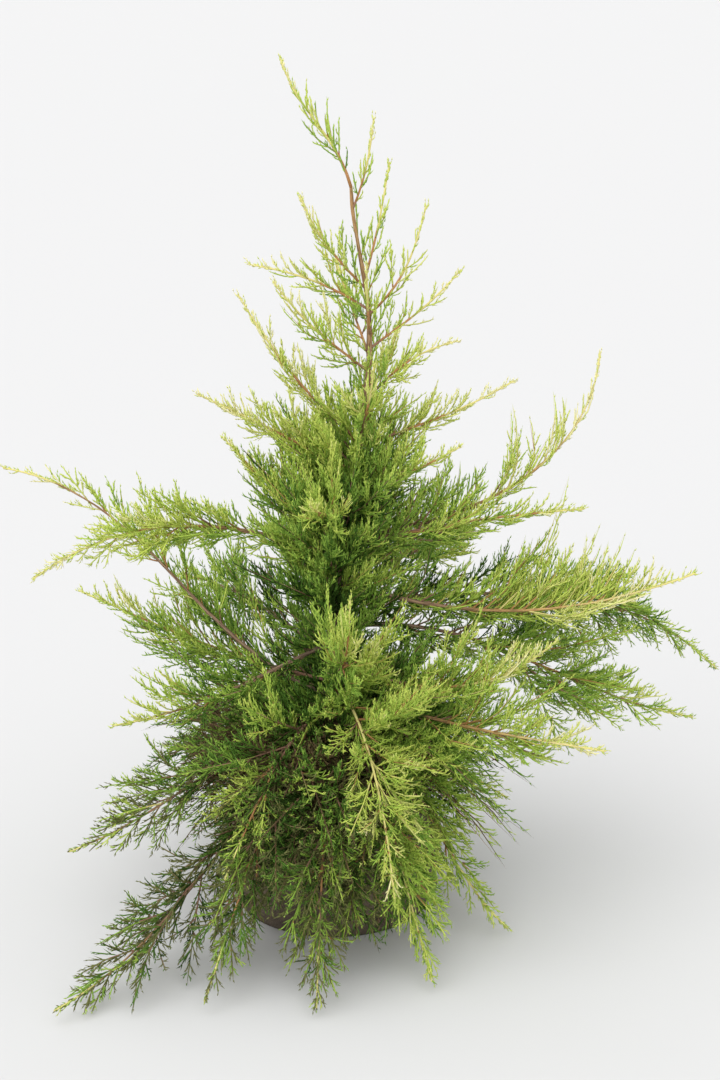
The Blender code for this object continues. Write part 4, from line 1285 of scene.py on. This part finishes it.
# %% Make the stems and the woody part of the twigs
STEM_SIDES, STEM_STEP, FEWEST_RINGS = 6, 0.012, 4
STEM_TIP_RADIUS, STEM_BASE_RADIUS, STEM_THICKENING, STEM_TAPER_POWER = 0.0010, 0.0014, 0.0024, 0.8
BOUGH_OVERLAP, OVERLAP_SCALE = 0.06, 1.15
ASKEW = np.array((0.31, 0.17, 0.93))
OLD_WOOD, YOUNG_WOOD, YOUNGEST_WOOD = (0.45, 0.84), (0.30, 0.55), (0.10, 0.42)
YOUNGEST_ABOVE = 0.70
OWN_WOOD = dict(leader=(0.0, 0.26), front_drop=(0.0, 0.12))
WOOD_PROFILE, WOOD_SIDES, WOOD_ROUGHNESS = ((0.03, 1.2), (0.42, 0.65)), 3, 0.75


def tube_along(centres, radii, sides):
    """A closed tube through some points, with a point at each end."""
    ways = unit(np.gradient(centres, axis=0))
    rings = np.stack(list(ring(centres, ways, ASKEW, radii, sides)), axis=1)
    points = np.concatenate([rings.reshape(-1, 3), centres[-1:], centres[:1]])
    return points, skin(len(centres), sides, True)


def stem_parts(number):
    """The stem of one shoot, as (wood kind, tube) parts from the trunk to its tip."""
    shoot, path, length = SHOOTS[number], PATHS[number], LENGTHS[number]
    base = STEM_BASE_RADIUS + STEM_THICKENING * length
    if shoot.name == "leader":
        base = TRUNK_TOP_RADIUS
    changes = YOUNG_WOOD if shoot.tint in (FRESH, GOLD) else OLD_WOOD
    changes = YOUNGEST_WOOD if shoot.height > YOUNGEST_ABOVE else changes
    edges = (0.0, *OWN_WOOD.get(shoot.name, changes), 1.0)
    parts = zip(range(len(WOOD_KINDS)), edges, edges[1:])
    if shoot.bare:
        parts = [(len(WOOD_KINDS) - 1, BOUGH_ENDS_AT - BOUGH_OVERLAP, 1.0)]
    for kind, low, high in parts:
        if high <= low:
            continue
        t = np.linspace(low, high, max(FEWEST_RINGS, round((high - low) * length / STEM_STEP)))
        if shoot.bare:
            radii = np.full(len(t), STEM_TIP_RADIUS * OVERLAP_SCALE)
        else:
            radii = base + (STEM_TIP_RADIUS - base) * t**STEM_TAPER_POWER
        yield kind, tube_along(on_path(path, t), radii, STEM_SIDES)


wood_chunks = [[] for kind in WOOD_KINDS]
for number in range(len(SHOOTS)):
    for kind, part in stem_parts(number):
        wood_chunks[kind].append(part)
woody_twigs = pick(twigs, woody)
kinds = wood_kinds(woody_twigs)
for kind, (word, colour) in enumerate(WOOD_KINDS):
    wood_chunks[kind].append(cords(pick(woody_twigs, kinds == kind), WOOD_PROFILE, WOOD_SIDES))
    piece = joined_mesh(f"wood_{word}", wood_chunks[kind])
    set_finish(piece, plain(f"wood {word}", colour, WOOD_ROUGHNESS), "bark")

# %% Tie the neck and lace the ball with twine
STRAND_RADIUS, STRAND_APART, STRAND_PITCH, STRAND_SIDES = 0.0010, 0.0009, 0.009, 4
TWINE_STEP = 0.0024
TWINE_ASKEW = np.array((0.21, 0.13, 0.97))
TWINE_COLOUR, TWINE_ROUGHNESS = (0.300, 0.215, 0.125), 0.9
LACE_KNOTS, LACE_TOP_DROP, LACE_FOOT, LACE_OUT = 70, 0.001, 0.004, 0.001
NECK_TURNS, NECK_KNOTS, TIE_RISE, TIE_OUT = 3, 60, 0.0032, 0.0022
END_KNOTS, END_SIDES_AND_DROPS = 16, ((-1, 0.022), (1, 0.034))
END_AT, END_LEAN, END_SPREAD = -0.93, 0.10, 0.55
END_FROM, END_REACH, END_ARCH, END_FALL = 0.004, 0.030, 0.008, 0.2


def twine(points):
    """Two strands twisted round a line of points, each a closed tube."""
    line = resampled(points, TWINE_STEP)
    ways = unit(np.gradient(line, axis=0))
    turns = np.arange(len(line)) * TWINE_STEP / STRAND_PITCH * 2 * math.pi
    for strand in (0.0, math.pi):
        out = round_stem(ways, square_to(ways, TWINE_ASKEW), turns + strand)
        yield tube_along(line + out * STRAND_APART, np.full(len(line), STRAND_RADIUS), STRAND_SIDES)


def around(angle, radius, height):
    return np.column_stack([radius * np.cos(angle), radius * np.sin(angle), height])


def lace(number):
    """One lace, from the tie at the neck down the ball's side to its foot."""
    height = np.linspace(BALL_HEIGHT - LACE_TOP_DROP, LACE_FOOT, LACE_KNOTS)
    angle = lace_turns(height)[number]
    down = around(angle, ball_surface(angle, height) + STRAND_APART, height)
    start = around(angle[:1], np.array([TIE_RADIUS + LACE_OUT]), np.array([TIE_HEIGHT]))
    return np.concatenate([start, down])


tie_angle = np.linspace(0.0, 2 * math.pi * NECK_TURNS, NECK_KNOTS * NECK_TURNS)
tie_height = TIE_HEIGHT + np.linspace(-TIE_RISE, TIE_RISE, len(tie_angle))
chunks = list(twine(around(tie_angle, TIE_RADIUS + TIE_OUT, tie_height)))
for number in range(LACES):
    chunks += twine(lace(number))
share = np.linspace(0.0, 1.0, END_KNOTS)
for side, drop in END_SIDES_AND_DROPS:
    end_angle = END_AT + side * (END_LEAN + END_SPREAD * share)
    end_radius = TIE_RADIUS + END_FROM + share * END_REACH
    end_height = TIE_HEIGHT + END_ARCH * np.sin(share * math.pi) - drop * END_FALL * share
    chunks += twine(around(end_angle, end_radius, end_height))
ball_twine = joined_mesh("ball_twine", chunks)
set_finish(ball_twine, plain("twine", TWINE_COLOUR, TWINE_ROUGHNESS), "hessian")
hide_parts("root_ball")

# %% Measure the dressed size against the plain model's
DRESSED_LOW, DRESSED_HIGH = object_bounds()
print("the dressed juniper spans", [round(b - a, 3) for a, b in zip(DRESSED_LOW, DRESSED_HIGH)])
sizes = [[list(low), list(high)] for low, high in ((CAD_LOW, CAD_HIGH), (DRESSED_LOW, DRESSED_HIGH))]
